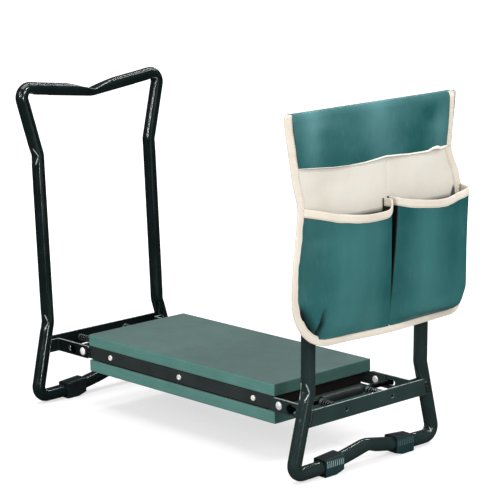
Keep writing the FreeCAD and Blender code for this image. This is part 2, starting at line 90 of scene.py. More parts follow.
# ---------------------------------------------------------------- numbers and curves
def box_mm(node):
    """Low and high corner of a CAD node's box, in millimetres from the datum."""
    corners = [[float(value) for value in corner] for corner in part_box(node)]
    return np.array(corners) / MM - [0, 0, LIFT]


def ease(x, over):
    """Smooth step from 0 to 1 as x goes from over[0] to over[1]."""
    start, end = over
    t = np.clip((np.asarray(x, float) - start) / (end - start), 0.0, 1.0)
    return t * t * (3 - 2 * t)


def bell(x, centre, width):
    return np.exp(-((np.asarray(x, float) - centre) / width) ** 2)


def unit(vectors):
    length = np.linalg.norm(vectors, axis=-1, keepdims=True)
    return vectors / np.maximum(length, 1e-9)


def relax(values, times):
    """Smooths along the first axis, in place, with both ends held."""
    for _ in range(times):
        values[1:-1] = (values[:-2] + 2 * values[1:-1] + values[2:]) / 4


def lattice_hash(cell, seed):
    """A fixed pseudo-random value in -1..1 for each integer cell."""
    mixed = (cell @ np.array([374761393, 668265263, 2147483647]) + seed * 144665) & 0xFFFFFFFF
    mixed = ((mixed ^ (mixed >> 13)) * 1274126177) & 0xFFFFFFFF
    mixed = (mixed ^ (mixed >> 16)) & 0xFFFFFFFF
    return mixed / 4294967295.0 * 2 - 1


def noise(points, size, seed):
    """Smooth value noise in -1..1, with features about `size` wide."""
    place = np.asarray(points, float) / size + 1000.0
    cell = np.floor(place).astype(np.int64)
    part = place - cell
    part = part * part * part * (part * (part * 6 - 15) + 10)
    total = 0.0
    for corner in itertools.product((0, 1), repeat=3):
        weight = np.prod(np.where(corner, part, 1 - part), axis=-1)
        total = total + weight * lattice_hash(cell + corner, seed)
    return total


def ripples(points, *layers):
    """Sum of three-octave noises; layers are (height, size, seed)."""
    total = 0.0
    for height, size, seed in layers:
        octaves = sum(0.5 ** k * noise(points, size / 2 ** k, seed + 17 * k) for k in range(3))
        total = total + height * octaves / 1.75
    return total


def swells(table, y, z):
    """Sum of rounded swells; rows are (height, y, y width, z, z width)."""
    return sum(height * bell(y, y0, y_width) * bell(z, z0, z_width)
               for height, y0, y_width, z0, z_width in table)


def spline(points, count):
    """Uniform cubic B-spline near the points, clamped at its ends."""
    points = np.asarray(points, float)
    points = np.vstack([2 * points[0] - points[1], points, 2 * points[-1] - points[-2]])
    place = np.linspace(0, len(points) - 3 - 1e-9, count)
    first = place.astype(int)
    t = (place - first)[:, None]
    weights = ((1 - t) ** 3 / 6, (3 * t ** 3 - 6 * t ** 2 + 4) / 6,
               (-3 * t ** 3 + 3 * t ** 2 + 3 * t + 1) / 6, t ** 3 / 6)
    return sum(weight * points[first + k] for k, weight in enumerate(weights))


def distance_along(path):
    return np.r_[0, np.cumsum(np.linalg.norm(np.diff(path, axis=0), axis=1))]


def at_distance(values, distance, wanted):
    return np.stack([np.interp(wanted, distance, column) for column in values.T], -1)


def resample(path, count):
    distance = distance_along(path)
    return at_distance(path, distance, np.linspace(0, distance[-1], count))


def smooth_table(x, table):
    """Interpolates (x, value) rows, rounded over a window about 10 mm long."""
    table = np.array(sorted(table), float)
    samples = np.linspace(table[0, 0], table[-1, 0], 400)
    values = np.interp(samples, table[:, 0], table[:, 1])
    window = max(3, int(400 * 10.0 / max(table[-1, 0] - table[0, 0], 1)) | 1)
    padded = np.r_[2 * values[0] - values[window:0:-1], values,
                   2 * values[-1] - values[-2:-window - 2:-1]]
    kernel = np.hanning(window + 2)[1:-1]
    kernel /= kernel.sum()
    return np.interp(x, samples, np.convolve(padded, kernel, mode="same")[window:-window])


def circle(count, radius=1.0):
    angles = np.linspace(0, 2 * math.pi, count, endpoint=False)
    return [(radius * math.cos(angle), radius * math.sin(angle)) for angle in angles]


# ---------------------------------------------------------------- meshes
def make_mesh(name, verts, faces, material, smooth=True):
    mesh = bpy.data.meshes.new(name)
    verts = (np.asarray(verts, float) + [0, 0, LIFT]) * MM
    mesh.from_pydata([tuple(p) for p in verts], [], [tuple(int(i) for i in f) for f in faces])
    mesh.validate()
    mesh.update()
    if smooth:
        mesh.polygons.foreach_set("use_smooth", [True] * len(mesh.polygons))
    piece = bpy.data.objects.new(name, mesh)
    bpy.context.scene.collection.objects.link(piece)
    mesh.materials.append(material)
    return piece


def make_solid(name, verts, faces, material, merge=False):
    """A closed mesh with its faces pointing outward, and coincident points merged on request."""
    piece = make_mesh(name, verts, faces, material)
    work = bmesh.new()
    work.from_mesh(piece.data)
    if merge:
        bmesh.ops.remove_doubles(work, verts=work.verts, dist=1e-6)
    bmesh.ops.recalc_face_normals(work, faces=work.faces)
    work.to_mesh(piece.data)
    work.free()
    return piece


def attach(piece, carrier, replaces=None):
    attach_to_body(piece, carrier)
    if replaces:
        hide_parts(replaces)


def grid_normals(grid, facing=None):
    """Unit normals of a grid; facing (1 or -1) sets the x sign at its middle."""
    normals = unit(np.cross(np.gradient(grid, axis=0), np.gradient(grid, axis=1)))
    if facing and normals[grid.shape[0] // 2, grid.shape[1] // 2, 0] * facing < 0:
        normals = -normals
    return normals


def sheet(name, grid, thickness, material):
    """A thin closed solid about a grid of points: two faces and a rim."""
    offset = grid_normals(grid) * thickness / 2
    verts = np.vstack([(grid + offset).reshape(-1, 3), (grid - offset).reshape(-1, 3)])
    count = grid.shape[0] * grid.shape[1]
    index = np.arange(count).reshape(grid.shape[:2])
    quads = np.stack([index[:-1, :-1], index[1:, :-1], index[1:, 1:], index[:-1, 1:]], -1)
    quads = quads.reshape(-1, 4)
    faces = [quads, quads[:, ::-1] + count]
    for edge in (index[:, 0], index[-1, :], index[::-1, -1], index[0, ::-1]):
        faces.append(np.stack([edge[1:], edge[:-1], edge[:-1] + count, edge[1:] + count], -1))
    return make_solid(name, verts, np.vstack(faces), material)


def sweep(path, side, out, profile, scale=None):
    """Sweeps a closed profile (a, b): point = path + a * side + b * out."""
    profile = np.asarray(profile, float)
    if scale is None:
        scale = np.ones((len(path), 2))
    verts = (path[:, None] + (profile[None, :, 0:1] * scale[:, None, 0:1]) * side[:, None]
             + (profile[None, :, 1:2] * scale[:, None, 1:2]) * out[:, None])
    index = np.arange(len(path) * len(profile)).reshape(len(path), len(profile))
    turned = np.roll(index, -1, axis=1)
    quads = np.stack([index[:-1], index[1:], turned[1:], turned[:-1]], -1).reshape(-1, 4)
    return verts.reshape(-1, 3), list(quads) + [index[0], index[-1][::-1]]


def join(parts):
    verts = []
    faces = []
    offset = 0
    for part_verts, part_faces in parts:
        verts.append(part_verts)
        faces += [[int(i) + offset for i in face] for face in part_faces]
        offset += len(part_verts)
    return np.vstack(verts), faces


def ring_quads(bands, sides):
    """Quads between successive rings of points."""
    return [[i * sides + j, i * sides + (j + 1) % sides,
             (i + 1) * sides + (j + 1) % sides, (i + 1) * sides + j]
            for i in range(bands) for j in range(sides)]


# ---------------------------------------------------------------- tapes and stitches
STITCH_LENGTH = 2.7
STITCH_GAP = 1.3
STITCH_RADIUS = 0.30
STITCH_SINK = 0.08
# one stitch's five rings: radius and rise, as shares of the thread's radius
STITCH_SWELL = np.array([0.45, 0.95, 1.0, 0.95, 0.45])
STITCH_RISE = np.array([-0.30, 0.12, 0.2, 0.12, -0.30]) * 1.6
STITCH_FACES = ring_quads(4, 6) + [list(range(5, -1, -1)), list(range(24, 30))]


def stitch_row(path, out):
    """Short raised bars of thread along a path; out is the surface normal."""
    distance = distance_along(path)
    turn = np.array(circle(6))
    parts = []
    start = 1.0
    while start + STITCH_LENGTH < distance[-1] - 0.5:
        wanted = np.linspace(start, start + STITCH_LENGTH, 5)
        centres = at_distance(path, distance, wanted)
        normals = unit(at_distance(out, distance, wanted))
        along = unit(centres[[1, 2, 3, 4, 4]] - centres[[0, 0, 1, 2, 3]])
        across = np.cross(along, normals)
        rise = STITCH_RISE * STITCH_RADIUS - STITCH_SINK
        spokes = turn[:, :1] * normals[:, None] + turn[:, 1:] * across[:, None]
        rings = ((centres + normals * rise[:, None])[:, None]
                 + (STITCH_RADIUS * STITCH_SWELL)[:, None, None] * spokes)
        parts.append((rings.reshape(-1, 3), STITCH_FACES))
        start += STITCH_LENGTH + STITCH_GAP
    return join(parts)


def tape_profile(width, thickness):
    """Flattened loop: a from the folded edge (0) to width, b across the thickness."""
    r = thickness / 2
    fold = [math.pi / 2 + math.pi * k / 5 for k in range(6)]
    points = [(r + r * math.cos(angle), r * math.sin(angle)) for angle in fold]
    points += [(r + (width - r) * t, -r * 1.02) for t in (0.35, 0.7)]
    points += [(width - 0.5, -r * 0.96), (width, -r * 0.62),
               (width, r * 0.62), (width - 0.5, r * 0.96)]
    points += [(r + (width - r) * t, r * 1.02) for t in (0.7, 0.35)]
    return points


def tape(path, side, out, width, thickness, seam_inset, seam_rise, scale=None, both_faces=False):
    """A folded tape and the stitch rows on one face of it or on both."""
    side = np.broadcast_to(side, path.shape)
    out = np.broadcast_to(out, path.shape)
    body = sweep(path, side, out, tape_profile(width, thickness), scale)
    seams = [stitch_row(path + side * seam_inset + sign * out * seam_rise, sign * out)
             for sign in ((1, -1) if both_faces else (1,))]
    return body, seams


def sew(tape_name, stitch_name, tapes, carrier="pouch", replaces=None):
    bodies = [body for body, seams in tapes]
    piece = make_solid(tape_name, *join(bodies), TAPE)
    attach(piece, carrier, replaces)
    rows = [row for body, seams in tapes for row in seams]
    attach(make_mesh(stitch_name, *join(rows), THREAD), carrier)


# ---------------------------------------------------------------- material nodes
def height(level):
    """Metres above the floor of a level above the datum."""
    return (level + LIFT) * MM


def heights(*levels):
    return [height(level) for level in levels]


def metres(*lengths):
    return [length * MM for length in lengths]


def srgb(colour, shift=0):
    """Linear colour from 0..255 channels, each moved by shift."""
    shares = np.clip(np.add(colour, shift), 0, 255) / 255.0
    return tuple(c / 12.92 if c <= 0.04045 else ((c + 0.055) / 1.055) ** 2.4
                 for c in shares) + (1.0,)


def put(tree, socket, value):
    """Links a socket to the input, or sets the input to a value."""
    if isinstance(value, bpy.types.NodeSocket):
        tree.links.new(value, socket)
    else:
        socket.default_value = value


def math_node(tree, operation, a, b=0.0, clamp=False):
    node = tree.nodes.new("ShaderNodeMath")
    node.operation = operation
    node.use_clamp = clamp
    put(tree, node.inputs[0], a)
    put(tree, node.inputs[1], b)
    return node.outputs[0]


class Material:
    """A node tree in which each method adds a node and returns its output."""

    def __init__(self, name):
        self.data = bpy.data.materials.new(name)
        self.data.use_nodes = True
        self.tree = self.data.node_tree
        self.shader = self.tree.nodes["Principled BSDF"]
        self.position = self.new("ShaderNodeTexCoord").outputs["Object"]
        self.relief = None

    def new(self, kind, **properties):
        node = self.tree.nodes.new(kind)
        for name, value in properties.items():
            setattr(node, name, value)
        return node

    def put(self, socket, value):
        put(self.tree, socket, value)

    def math(self, operation, a, b=0.0, clamp=False):
        return math_node(self.tree, operation, a, b, clamp)

    def add(self, a, b, clamp=False):
        return self.math("ADD", a, b, clamp)

    def sub(self, a, b, clamp=False):
        return self.math("SUBTRACT", a, b, clamp)

    def mul(self, a, b, clamp=False):
        return self.math("MULTIPLY", a, b, clamp)

    def stretched(self, scale):
        node = self.new("ShaderNodeMapping")
        self.put(node.inputs["Vector"], self.position)
        node.inputs["Scale"].default_value = scale
        return node.outputs[0]

    def noise(self, size, detail=3.0, rough=0.55, vector=None, distortion=0.0):
        """Noise with features `size` millimetres wide."""
        node = self.new("ShaderNodeTexNoise")
        self.put(node.inputs["Vector"], vector or self.position)
        node.inputs["Scale"].default_value = 1000.0 / size
        node.inputs["Detail"].default_value = detail
        node.inputs["Roughness"].default_value = rough
        node.inputs["Distortion"].default_value = distortion
        return node.outputs[0]

    def cells(self, size):
        node = self.new("ShaderNodeTexVoronoi")
        self.put(node.inputs["Vector"], self.position)
        node.inputs["Scale"].default_value = 1000.0 / size
        return node.outputs["Distance"]

    def ramp(self, value, over, to=(0.0, 1.0)):
        node = self.new("ShaderNodeMapRange")
        self.put(node.inputs["Value"], value)
        node.inputs["From Min"].default_value, node.inputs["From Max"].default_value = over
        node.inputs["To Min"].default_value, node.inputs["To Max"].default_value = to
        return node.outputs[0]

    def mix(self, factor, a, b, mode="MIX"):
        node = self.new("ShaderNodeMix", data_type="RGBA", blend_type=mode)
        self.put(node.inputs["Factor"], factor)
        self.put(node.inputs[6], a)         # the colour inputs
        self.put(node.inputs[7], b)
        return node.outputs[2]

    def split(self, vector=None):
        node = self.new("ShaderNodeSeparateXYZ")
        self.put(node.inputs[0], vector or self.position)
        return node.outputs

    def normal(self):
        return self.new("ShaderNodeTexCoord").outputs["Normal"]

    def bump(self, relief, strength, depth):
        """Lays one more relief, depth in millimetres, over the earlier ones."""
        node = self.new("ShaderNodeBump")
        node.inputs["Strength"].default_value = strength
        node.inputs["Distance"].default_value = depth * MM
        self.put(node.inputs["Height"], relief)
        if self.relief is not None:
            self.put(node.inputs["Normal"], self.relief)
        self.relief = node.outputs[0]
        self.put(self.shader.inputs["Normal"], self.relief)

    def bell(self, value, centre, width):
        """Smooth 0..1 bump of a coordinate; centre and width in millimetres."""
        offset = self.math("DIVIDE", self.sub(value, centre * MM), width * MM)
        return self.math("EXPONENT", self.mul(self.mul(offset, offset), -1.0))

    def edge(self, radius):
        """0 on flats, towards 1 near an edge."""
        bevel = self.new("ShaderNodeBevel", samples=6)
        bevel.inputs["Radius"].default_value = radius * MM
        dot = self.new("ShaderNodeVectorMath", operation="DOT_PRODUCT")
        self.put(dot.inputs[0], bevel.outputs[0])
        self.put(dot.inputs[1], self.new("ShaderNodeNewGeometry").outputs["Normal"])
        return self.ramp(dot.outputs["Value"], over=(0.995, 0.86))

    def set(self, **inputs):
        for name, value in inputs.items():
            self.put(self.shader.inputs[name.replace("_", " ")], value)


# ---------------------------------------------------------------- metal, rubber, board, foam
def enamel(name, base, rough, peel=0.10, coat=0.18, spec=0.30, edge_wear_and_highlight=None,
           edge_wear_and_highlight_tone=(96, 104, 102), painted_top_highlight=False, crease=False):
    """Baked enamel on steel: orange peel, faint dust; on request pale edges (part wear, part
    painted highlight), a painted highlight on the crushed bends' rims and a painted highlight on
    upward faces.
    """
    mat = Material(name)
    broad = mat.noise(size=70, detail=2)
    fine = mat.noise(size=2.6, detail=2, rough=0.5)
    dust = mat.noise(size=14, detail=4, rough=0.7)
    colour = mat.mix(mat.ramp(broad, over=(0.35, 0.65)), srgb(base), srgb(base, shift=(5, 7, 7)))
    colour = mat.mix(mat.ramp(dust, over=(0.58, 0.80), to=(0.0, 0.07)), colour,
                     srgb((70, 80, 78)))
    if edge_wear_and_highlight is not None:
        # pale edges: part real wear, part a painted highlight standing in for light caught along
        # the edges
        patches = mat.ramp(mat.noise(size=5.0, detail=4, rough=0.7), over=(0.46, 0.62))
        pale_edge = mat.mul(mat.edge(radius=0.8), patches, clamp=True)
        colour = mat.mix(mat.mul(pale_edge, edge_wear_and_highlight), colour, srgb(edge_wear_and_highlight_tone))
    if crease:
        # painted highlight: the rims of the crushed bends are painted pale where the enamel would
        # catch the light
        marked = mat.new("ShaderNodeAttribute")
        marked.attribute_name = "crease"
        patches = mat.ramp(mat.noise(size=6.0, detail=3, rough=0.6),
                           over=(0.34, 0.55), to=(0.15, 0.85))
        shine = mat.mul(mat.ramp(marked.outputs["Fac"], over=(0.25, 0.75)), patches)
        colour = mat.mix(shine, colour, srgb((206, 212, 210)))
    if painted_top_highlight:
        # painted highlight: faces that look up are painted pale, as if lit from above
        upward = mat.ramp(mat.split(mat.normal())[2], over=(0.45, 0.8))
        patches = mat.ramp(mat.noise(size=9.0, detail=3, rough=0.6),
                           over=(0.30, 0.52), to=(0.25, 0.9))
        colour = mat.mix(mat.mul(upward, patches), colour, srgb((176, 186, 182)))
    mat.set(Base_Color=colour, Specular_IOR_Level=spec, Coat_Weight=coat, Coat_Roughness=0.08,
            Roughness=mat.ramp(dust, over=(0.3, 0.75), to=(rough - 0.05, rough + 0.14)))
    mat.bump(fine, strength=peel, depth=0.30)
    mat.bump(broad, strength=0.05, depth=1.0)
    return mat.data


def steel(name, tone, rough, metal):
    mat = Material(name)
    fine = mat.noise(size=1.1, detail=4, rough=0.6)
    mottle = mat.noise(size=7, detail=3, rough=0.6)
    mat.set(Base_Color=mat.mix(mat.ramp(mottle, over=(0.4, 0.7)), srgb(tone),
                               srgb(tone, shift=(-34, -34, -30))),
            Metallic=metal,
            Roughness=mat.ramp(fine, over=(0.3, 0.7), to=(rough - 0.08, rough + 0.12)))
    mat.bump(fine, strength=0.12, depth=0.12)
    mat.bump(mottle, strength=0.10, depth=0.3)
    return mat.data


def foot_shade_and_rib_highlights(mat, colour):
    """Painted shade: near-black on top and on the Y faces; painted highlights: pale ribs on the
    outer face.
    """
    x, y, z = mat.split()
    facing = mat.split(mat.normal())
    shade_tone = srgb((8, 13, 14))
    # painted shade: faces that look up and the Y faces turn near-black
    colour = mat.mix(mat.ramp(facing[2], over=(0.35, 0.8), to=(0.0, 0.92)), colour, shade_tone)
    colour = mat.mix(mat.ramp(mat.math("ABSOLUTE", facing[1]), over=(0.5, 0.85), to=(0.0, 0.92)),
                     colour, shade_tone)
    # painted highlights: pale ribs on the outer face, standing in for light on the rib crests
    first_rib, pitch = metres(55.2, 3.6)
    phase = mat.mul(mat.sub(mat.math("ABSOLUTE", y), first_rib), 2 * math.pi / pitch)
    rib_highlights = mat.ramp(mat.math("COSINE", phase), over=(0.45, 0.75))
    rib_highlights = mat.mul(rib_highlights, mat.mul(mat.ramp(z, over=heights(3.6, 4.6)),
                                 mat.ramp(z, over=heights(13.4, 12.6))))
    rib_highlights = mat.mul(rib_highlights, mat.mul(mat.ramp(facing[0], over=(0.5, 0.8)),
                                 mat.ramp(y, over=metres(-20, -30), to=(0.25, 1.0))))
    return mat.mix(mat.mul(rib_highlights, 0.9), colour, srgb((165, 190, 190)))


def moulded(name, base, rough, grain=0.5, spread=7, rib_highlights=False):
    """Moulded plastic or rubber: pebble grain, faint flow marks, scuffed edges."""
    mat = Material(name)
    pebbles = mat.cells(size=1.3)
    broad = mat.noise(size=30, detail=3)
    scuff = mat.noise(size=6, detail=5, rough=0.72)
    colour = mat.mix(mat.ramp(broad, over=(0.35, 0.68)), srgb(base), srgb(base, shift=spread))
    if rib_highlights:
        colour = foot_shade_and_rib_highlights(mat, colour)
    wear = mat.mul(mat.edge(radius=1.2), mat.ramp(scuff, over=(0.42, 0.66)), clamp=True)
    colour = mat.mix(mat.mul(wear, 0.45), colour, srgb(base, shift=44))
    mat.set(Base_Color=colour, Specular_IOR_Level=0.45,
            Roughness=mat.ramp(scuff, over=(0.3, 0.7), to=(rough - 0.07, rough + 0.10)))
    mat.bump(broad, strength=0.10, depth=0.8)
    mat.bump(pebbles, strength=0.22 * grain, depth=0.16)
    return mat.data


def foam(name, base, warm):
    """Closed-cell foam: fine pores, soft mottling, cut marks along the sides."""
    mat = Material(name)
    pores = mat.cells(size=1.5)
    skin = mat.noise(size=3.0, detail=4, rough=0.65)
    mottle = mat.noise(size=34, detail=4, rough=0.6)
    broad = mat.noise(size=150, detail=2)
    cuts = mat.noise(size=3.2, detail=3, rough=0.6, vector=mat.stretched((0.06, 0.06, 1.0)))
    normal = mat.normal()
    side = mat.ramp(mat.math("ABSOLUTE", mat.split(normal)[2]), over=(0.75, 0.25))
    colour = mat.mix(mat.ramp(mottle, over=(0.34, 0.68)), srgb(base), srgb(base, shift=8))
    colour = mat.mix(mat.ramp(broad, over=(0.3, 0.7), to=(0.0, 0.35)), colour, srgb(warm))
    pore_strength = 1.0
    colour = mat.mix(mat.mul(mat.ramp(pores, over=(0.30, 0.10), to=(0.0, 0.16)), pore_strength),
                     colour, srgb(base, shift=-30))
    colour = mat.mix(mat.mul(mat.ramp(cuts, over=(0.42, 0.66), to=(0.0, 0.22)), side),
                     colour, srgb(base, shift=-22))
    # painted reflection: the flat faces are tinted greyer, as the white room would show on them;
    # painted shade: the +X end is darker
    colour = mat.mix(mat.sub(1.0, side, clamp=True), colour,
                     mat.mix(1.0, colour, srgb((230, 196, 200)), "MULTIPLY"))
    colour = mat.mix(mat.ramp(mat.split(normal)[0], over=(0.55, 0.9)), colour,
                     mat.mix(1.0, colour, srgb((186, 188, 188)), "MULTIPLY"))
    mat.set(Base_Color=colour, Roughness=mat.ramp(skin, over=(0.3, 0.7), to=(0.56, 0.74)),
            Specular_IOR_Level=0.35, Sheen_Weight=0.03, Sheen_Roughness=0.5)
    mat.bump(mottle, strength=0.10, depth=0.8)
    mat.bump(cuts, strength=0.10, depth=0.4)
    mat.bump(skin, strength=0.16, depth=0.25)
    mat.bump(pores, strength=0.22, depth=0.18)
    return mat.data


def fibreboard(name):
    """Reddish brown, flecked, with faint lengthwise streaks."""
    mat = Material(name)
    streaks = mat.noise(size=5, detail=4, rough=0.65, vector=mat.stretched((0.15, 0.7, 2.2)))
    flecks = mat.cells(size=1.4)
    colour = mat.mix(mat.ramp(streaks, over=(0.35, 0.7)), srgb((16, 10, 9)), srgb((30, 20, 17)))
    colour = mat.mix(mat.ramp(flecks, over=(0.22, 0.0), to=(0.0, 0.5)), colour, srgb((14, 8, 7)))
    mat.set(Base_Color=colour, Roughness=0.72, Specular_IOR_Level=0.3)
    mat.bump(streaks, strength=0.25, depth=0.5)
    mat.bump(flecks, strength=0.25, depth=0.2)
    return mat.data


# ---------------------------------------------------------------- cloth
# the gap between the pockets: its centre moves and it widens between two heights
GAP_LOW = 225.0
GAP_HIGH = 350.0
GAP_Y = 21.0
GAP_SHIFT = -4.2
# the pleat at the left pocket's lower left: a leaning line through (PLEAT_Y, PLEAT_Z)
PLEAT_Y = -119.0
PLEAT_Z = 192
PLEAT_LEAN = 0.20
# the fold that crosses it: a line through (FOLD_Y, FOLD_Z)
FOLD_Y = -121
FOLD_Z = 201
FOLD_SLOPE = 1.68
FOLD_NORM = 1.955       # turns the line's equation into a distance


def flap_painted_sheen(mat, y, z):
    """Painted sheen and shade: the flap is painted pale, as if catching light, at its top and in a
    few upright bands, and darker in one patch near y = 104.
    """
    high = mat.ramp(z, over=heights(428, 500))
    middle = mat.mul(mat.bell(y, centre=6, width=36),
                     mat.ramp(z, over=heights(425, 470), to=(0.34, 0.46)))
    left = mat.mul(mat.bell(y, centre=-120, width=17),
                   mat.ramp(z, over=heights(420, 450), to=(0.22, 0.48)))
    right = mat.mul(mat.bell(y, centre=122, width=17),
                    mat.ramp(z, over=heights(482, 456), to=(0.0, 0.50)))
    patch = mat.mul(mat.bell(y, centre=-100, width=24), mat.bell(z, centre=482 + LIFT, width=9))
    pale = mat.add(mat.mul(high, 0.36), mat.add(middle, left))
    pale = mat.add(pale, mat.add(right, mat.mul(patch, 0.25)))
    dark = mat.mul(mat.bell(y, centre=104, width=16), mat.bell(z, centre=474 + LIFT, width=12))
    return mat.sub(pale, mat.mul(dark, 0.30))


def pocket_painted_sheen(mat, y, z):
    """Painted sheen: the pockets are painted pale, as if catching light, in each one's middle and
    low down; they are also darker towards the mouth.
    """
    left = mat.mul(mat.ramp(y, over=metres(-128, -82)), mat.ramp(y, over=metres(6, -18)))
    right = mat.mul(mat.ramp(y, over=metres(34, 70)),
                    mat.ramp(y, over=metres(122, 86), to=(0.25, 1.0)))
    pale = mat.add(mat.mul(mat.add(left, right), 0.70), 0.12)
    pale = mat.add(pale, mat.mul(mat.ramp(z, over=heights(235, 205)), 0.22))
    return mat.sub(pale, mat.mul(mat.ramp(z, over=heights(325, 356)), 0.30))


def pocket_painted_shade(mat, y, z):
    """Painted shade: dark in the gap between the pockets and in the folds at the lower left, where
    shade falls.
    """
    centre, shift, widening, narrow, blur = metres(GAP_Y, GAP_SHIFT, 4.0, 1.8, 1.2)
    rise = mat.ramp(z, over=heights(GAP_LOW, GAP_HIGH))
    offset = mat.math("ABSOLUTE", mat.sub(mat.sub(y, centre), mat.mul(rise, shift)))
    half = mat.add(mat.mul(rise, widening), narrow)
    inside = mat.sub(1.0, mat.math("DIVIDE", mat.sub(offset, half), blur), clamp=True)
    gap = mat.mul(inside, mat.ramp(z, over=heights(214, 246)))
    lean = mat.mul(mat.sub(z, height(PLEAT_Z)), PLEAT_LEAN)
    pleat = mat.mul(mat.bell(mat.sub(y, lean), centre=PLEAT_Y, width=5.0),
                    mat.ramp(z, over=heights(240, 214)))
    line = mat.add(mat.sub(z, height(FOLD_Z)), mat.mul(mat.add(y, -FOLD_Y * MM), FOLD_SLOPE))
    fold = mat.bell(mat.math("DIVIDE", line, FOLD_NORM), centre=-3.4, width=6.0)
    fold = mat.mul(fold, mat.mul(mat.ramp(y, over=metres(-112, -120)),
                                 mat.ramp(z, over=heights(250, 238))))
    folds = mat.mul(mat.math("MAXIMUM", pleat, fold), 0.97)
    return mat.math("MAXIMUM", gap, folds), (4, 16, 17)


def canvas_painted_shade(mat, y, z):
    """Painted shade: the canvas is painted dark inside the pockets, where they shade it, on its
    outer (+X) face only.
    """
    outward = mat.split(mat.normal())[0]
    level = mat.sub(z, mat.ramp(y, over=metres(147, 152), to=metres(0.0, 12.5)))
    inner_shade = mat.mul(mat.ramp(level, over=metres(365.5, 358.5)),
                   mat.ramp(outward, over=(0.1, 0.4)))
    return mat.mul(inner_shade, 0.93), (26, 46, 46)


def cloth(name, base, dark, pitch, gloss, weave, sheen, spec, coat=0.0, thread=0.12,
          painted_sheen=None, painted_shade=None):
    """Woven cloth: over-under threads `pitch` apart, slubs and broad creasing."""
    mat = Material(name)
    x, y, z = mat.split()
    wobble = mat.noise(size=9, detail=2)
    turns = 2 * math.pi * 1000.0 / pitch
    weft = mat.math("SINE", mat.add(mat.mul(mat.add(x, y), turns), mat.mul(wobble, 1.6)))
    warp = mat.math("SINE", mat.add(mat.mul(z, turns), mat.mul(wobble, 1.3)))
    threads = mat.add(mat.mul(mat.mul(weft, warp), 0.5), 0.5)
    slubs = mat.noise(size=3.5, detail=3, rough=0.6, vector=mat.stretched((1.0, 1.0, 0.22)))
    broad = mat.noise(size=60, detail=3, rough=0.55)
    if painted_sheen is None:
        shade = mat.ramp(broad, over=(0.36, 0.66), to=(0.0, 0.5))
    else:
        # painted sheen: the given function says where the cloth is painted pale, as if catching
        # light
        pale = mat.add(painted_sheen(mat, y, z), mat.ramp(broad, over=(0.3, 0.7), to=(-0.14, 0.14)),
                       clamp=True)
        shade = mat.sub(1.0, pale, clamp=True)
    colour = mat.mix(shade, srgb(base), srgb(dark))
    colour = mat.mix(mat.ramp(threads, over=(0.55, 0.0), to=(0.0, thread)), colour,
                     srgb([int(c * 0.55) for c in dark]))
    colour = mat.mix(mat.ramp(slubs, over=(0.55, 0.75), to=(0.0, 0.10)), colour,
                     srgb(base, shift=22))
    # painted shade: the given function gives a mask and a dark tone laid where shade falls
    if painted_shade:
        amount, tone = painted_shade(mat, y, z)
        colour = mat.mix(amount, colour, srgb(tone))
    mat.set(Base_Color=colour, Specular_IOR_Level=spec, Sheen_Weight=sheen, Sheen_Roughness=0.45,
            Roughness=mat.ramp(slubs, over=(0.3, 0.7), to=(gloss - 0.06, gloss + 0.10)))
    if coat:
        mat.set(Coat_Weight=coat, Coat_Roughness=0.30)
    crease = mat.noise(size=22, detail=3, rough=0.5, distortion=0.4)
    mat.bump(crease, strength=0.10, depth=1.2)
    mat.bump(slubs, strength=0.10, depth=0.25)
    mat.bump(threads, strength=weave, depth=0.16)
    return mat.data


def stitch_thread(name, base):
    mat = Material(name)
    twist = mat.noise(size=0.9, detail=2, rough=0.6)
    colour = mat.mix(mat.ramp(twist, over=(0.35, 0.65)), srgb(base),
                     srgb([int(c * 0.80) for c in base]))
    mat.set(Base_Color=colour, Roughness=0.62, Sheen_Weight=0.2, Specular_IOR_Level=0.35)
    mat.bump(twist, strength=0.4, depth=0.12)
    return mat.data


# ---------------------------------------------------------------- the finishes
TUBE_LOOK = dict(peel=0.012, spec=0.45, coat=0.6, crease=True)
STRIP_LOOK = dict(rough=0.34, coat=0.05, spec=0.35, edge_wear_and_highlight=0.9, edge_wear_and_highlight_tone=(150, 160, 156),
                  painted_top_highlight=True)
# painted shade: the left leg takes darker copies of the right leg's tube and strip finishes,
# standing in for the shade it sits in
TUBE = {"right": enamel("enamel_tube", base=(26, 39, 38), rough=0.17, **TUBE_LOOK),
        "left": enamel("enamel_tube_shaded", base=(5, 17, 17), rough=0.16, **TUBE_LOOK)}
STRIP = {"right": enamel("enamel_strip", base=(33, 49, 48), **STRIP_LOOK),
         "left": enamel("enamel_strip_shaded", base=(11, 20, 20), **STRIP_LOOK)}
RAIL = enamel("enamel_rail", base=(38, 44, 43), rough=0.50, peel=0.14, coat=0.0, edge_wear_and_highlight=0.35)
WELD = enamel("enamel_weld", base=(18, 26, 25), rough=0.12, peel=0.20, coat=0.8)
ZINC = steel("zinc_steel", tone=(250, 250, 248), rough=0.26, metal=0.25)
ROD = steel("black_rod", tone=(40, 44, 44), rough=0.36, metal=1.0)
PIN = enamel("enamel_pin", base=(4, 8, 8), rough=0.20, peel=0.05)
SPRING = steel("spring_wire", tone=(96, 102, 102), rough=0.24, metal=0.6)
WASHER = moulded("washer_nylon", base=(16, 20, 20), rough=0.42, grain=0.4)
# painted shade: the left foot sleeves take a darker copy of the right's rubber
FOOT = {"right": moulded("foot_rubber", base=(13, 45, 47), rough=0.46, spread=9, rib_highlights=True),
        "left": moulded("foot_rubber_shaded", base=(12, 24, 27), rough=0.46)}
GRIP = moulded("grip_vinyl", base=(20, 29, 28), rough=0.50)
FOAM = foam("eva_foam", base=(75, 123, 115), warm=(84, 126, 118))
BOARD = fibreboard("board_fibre")

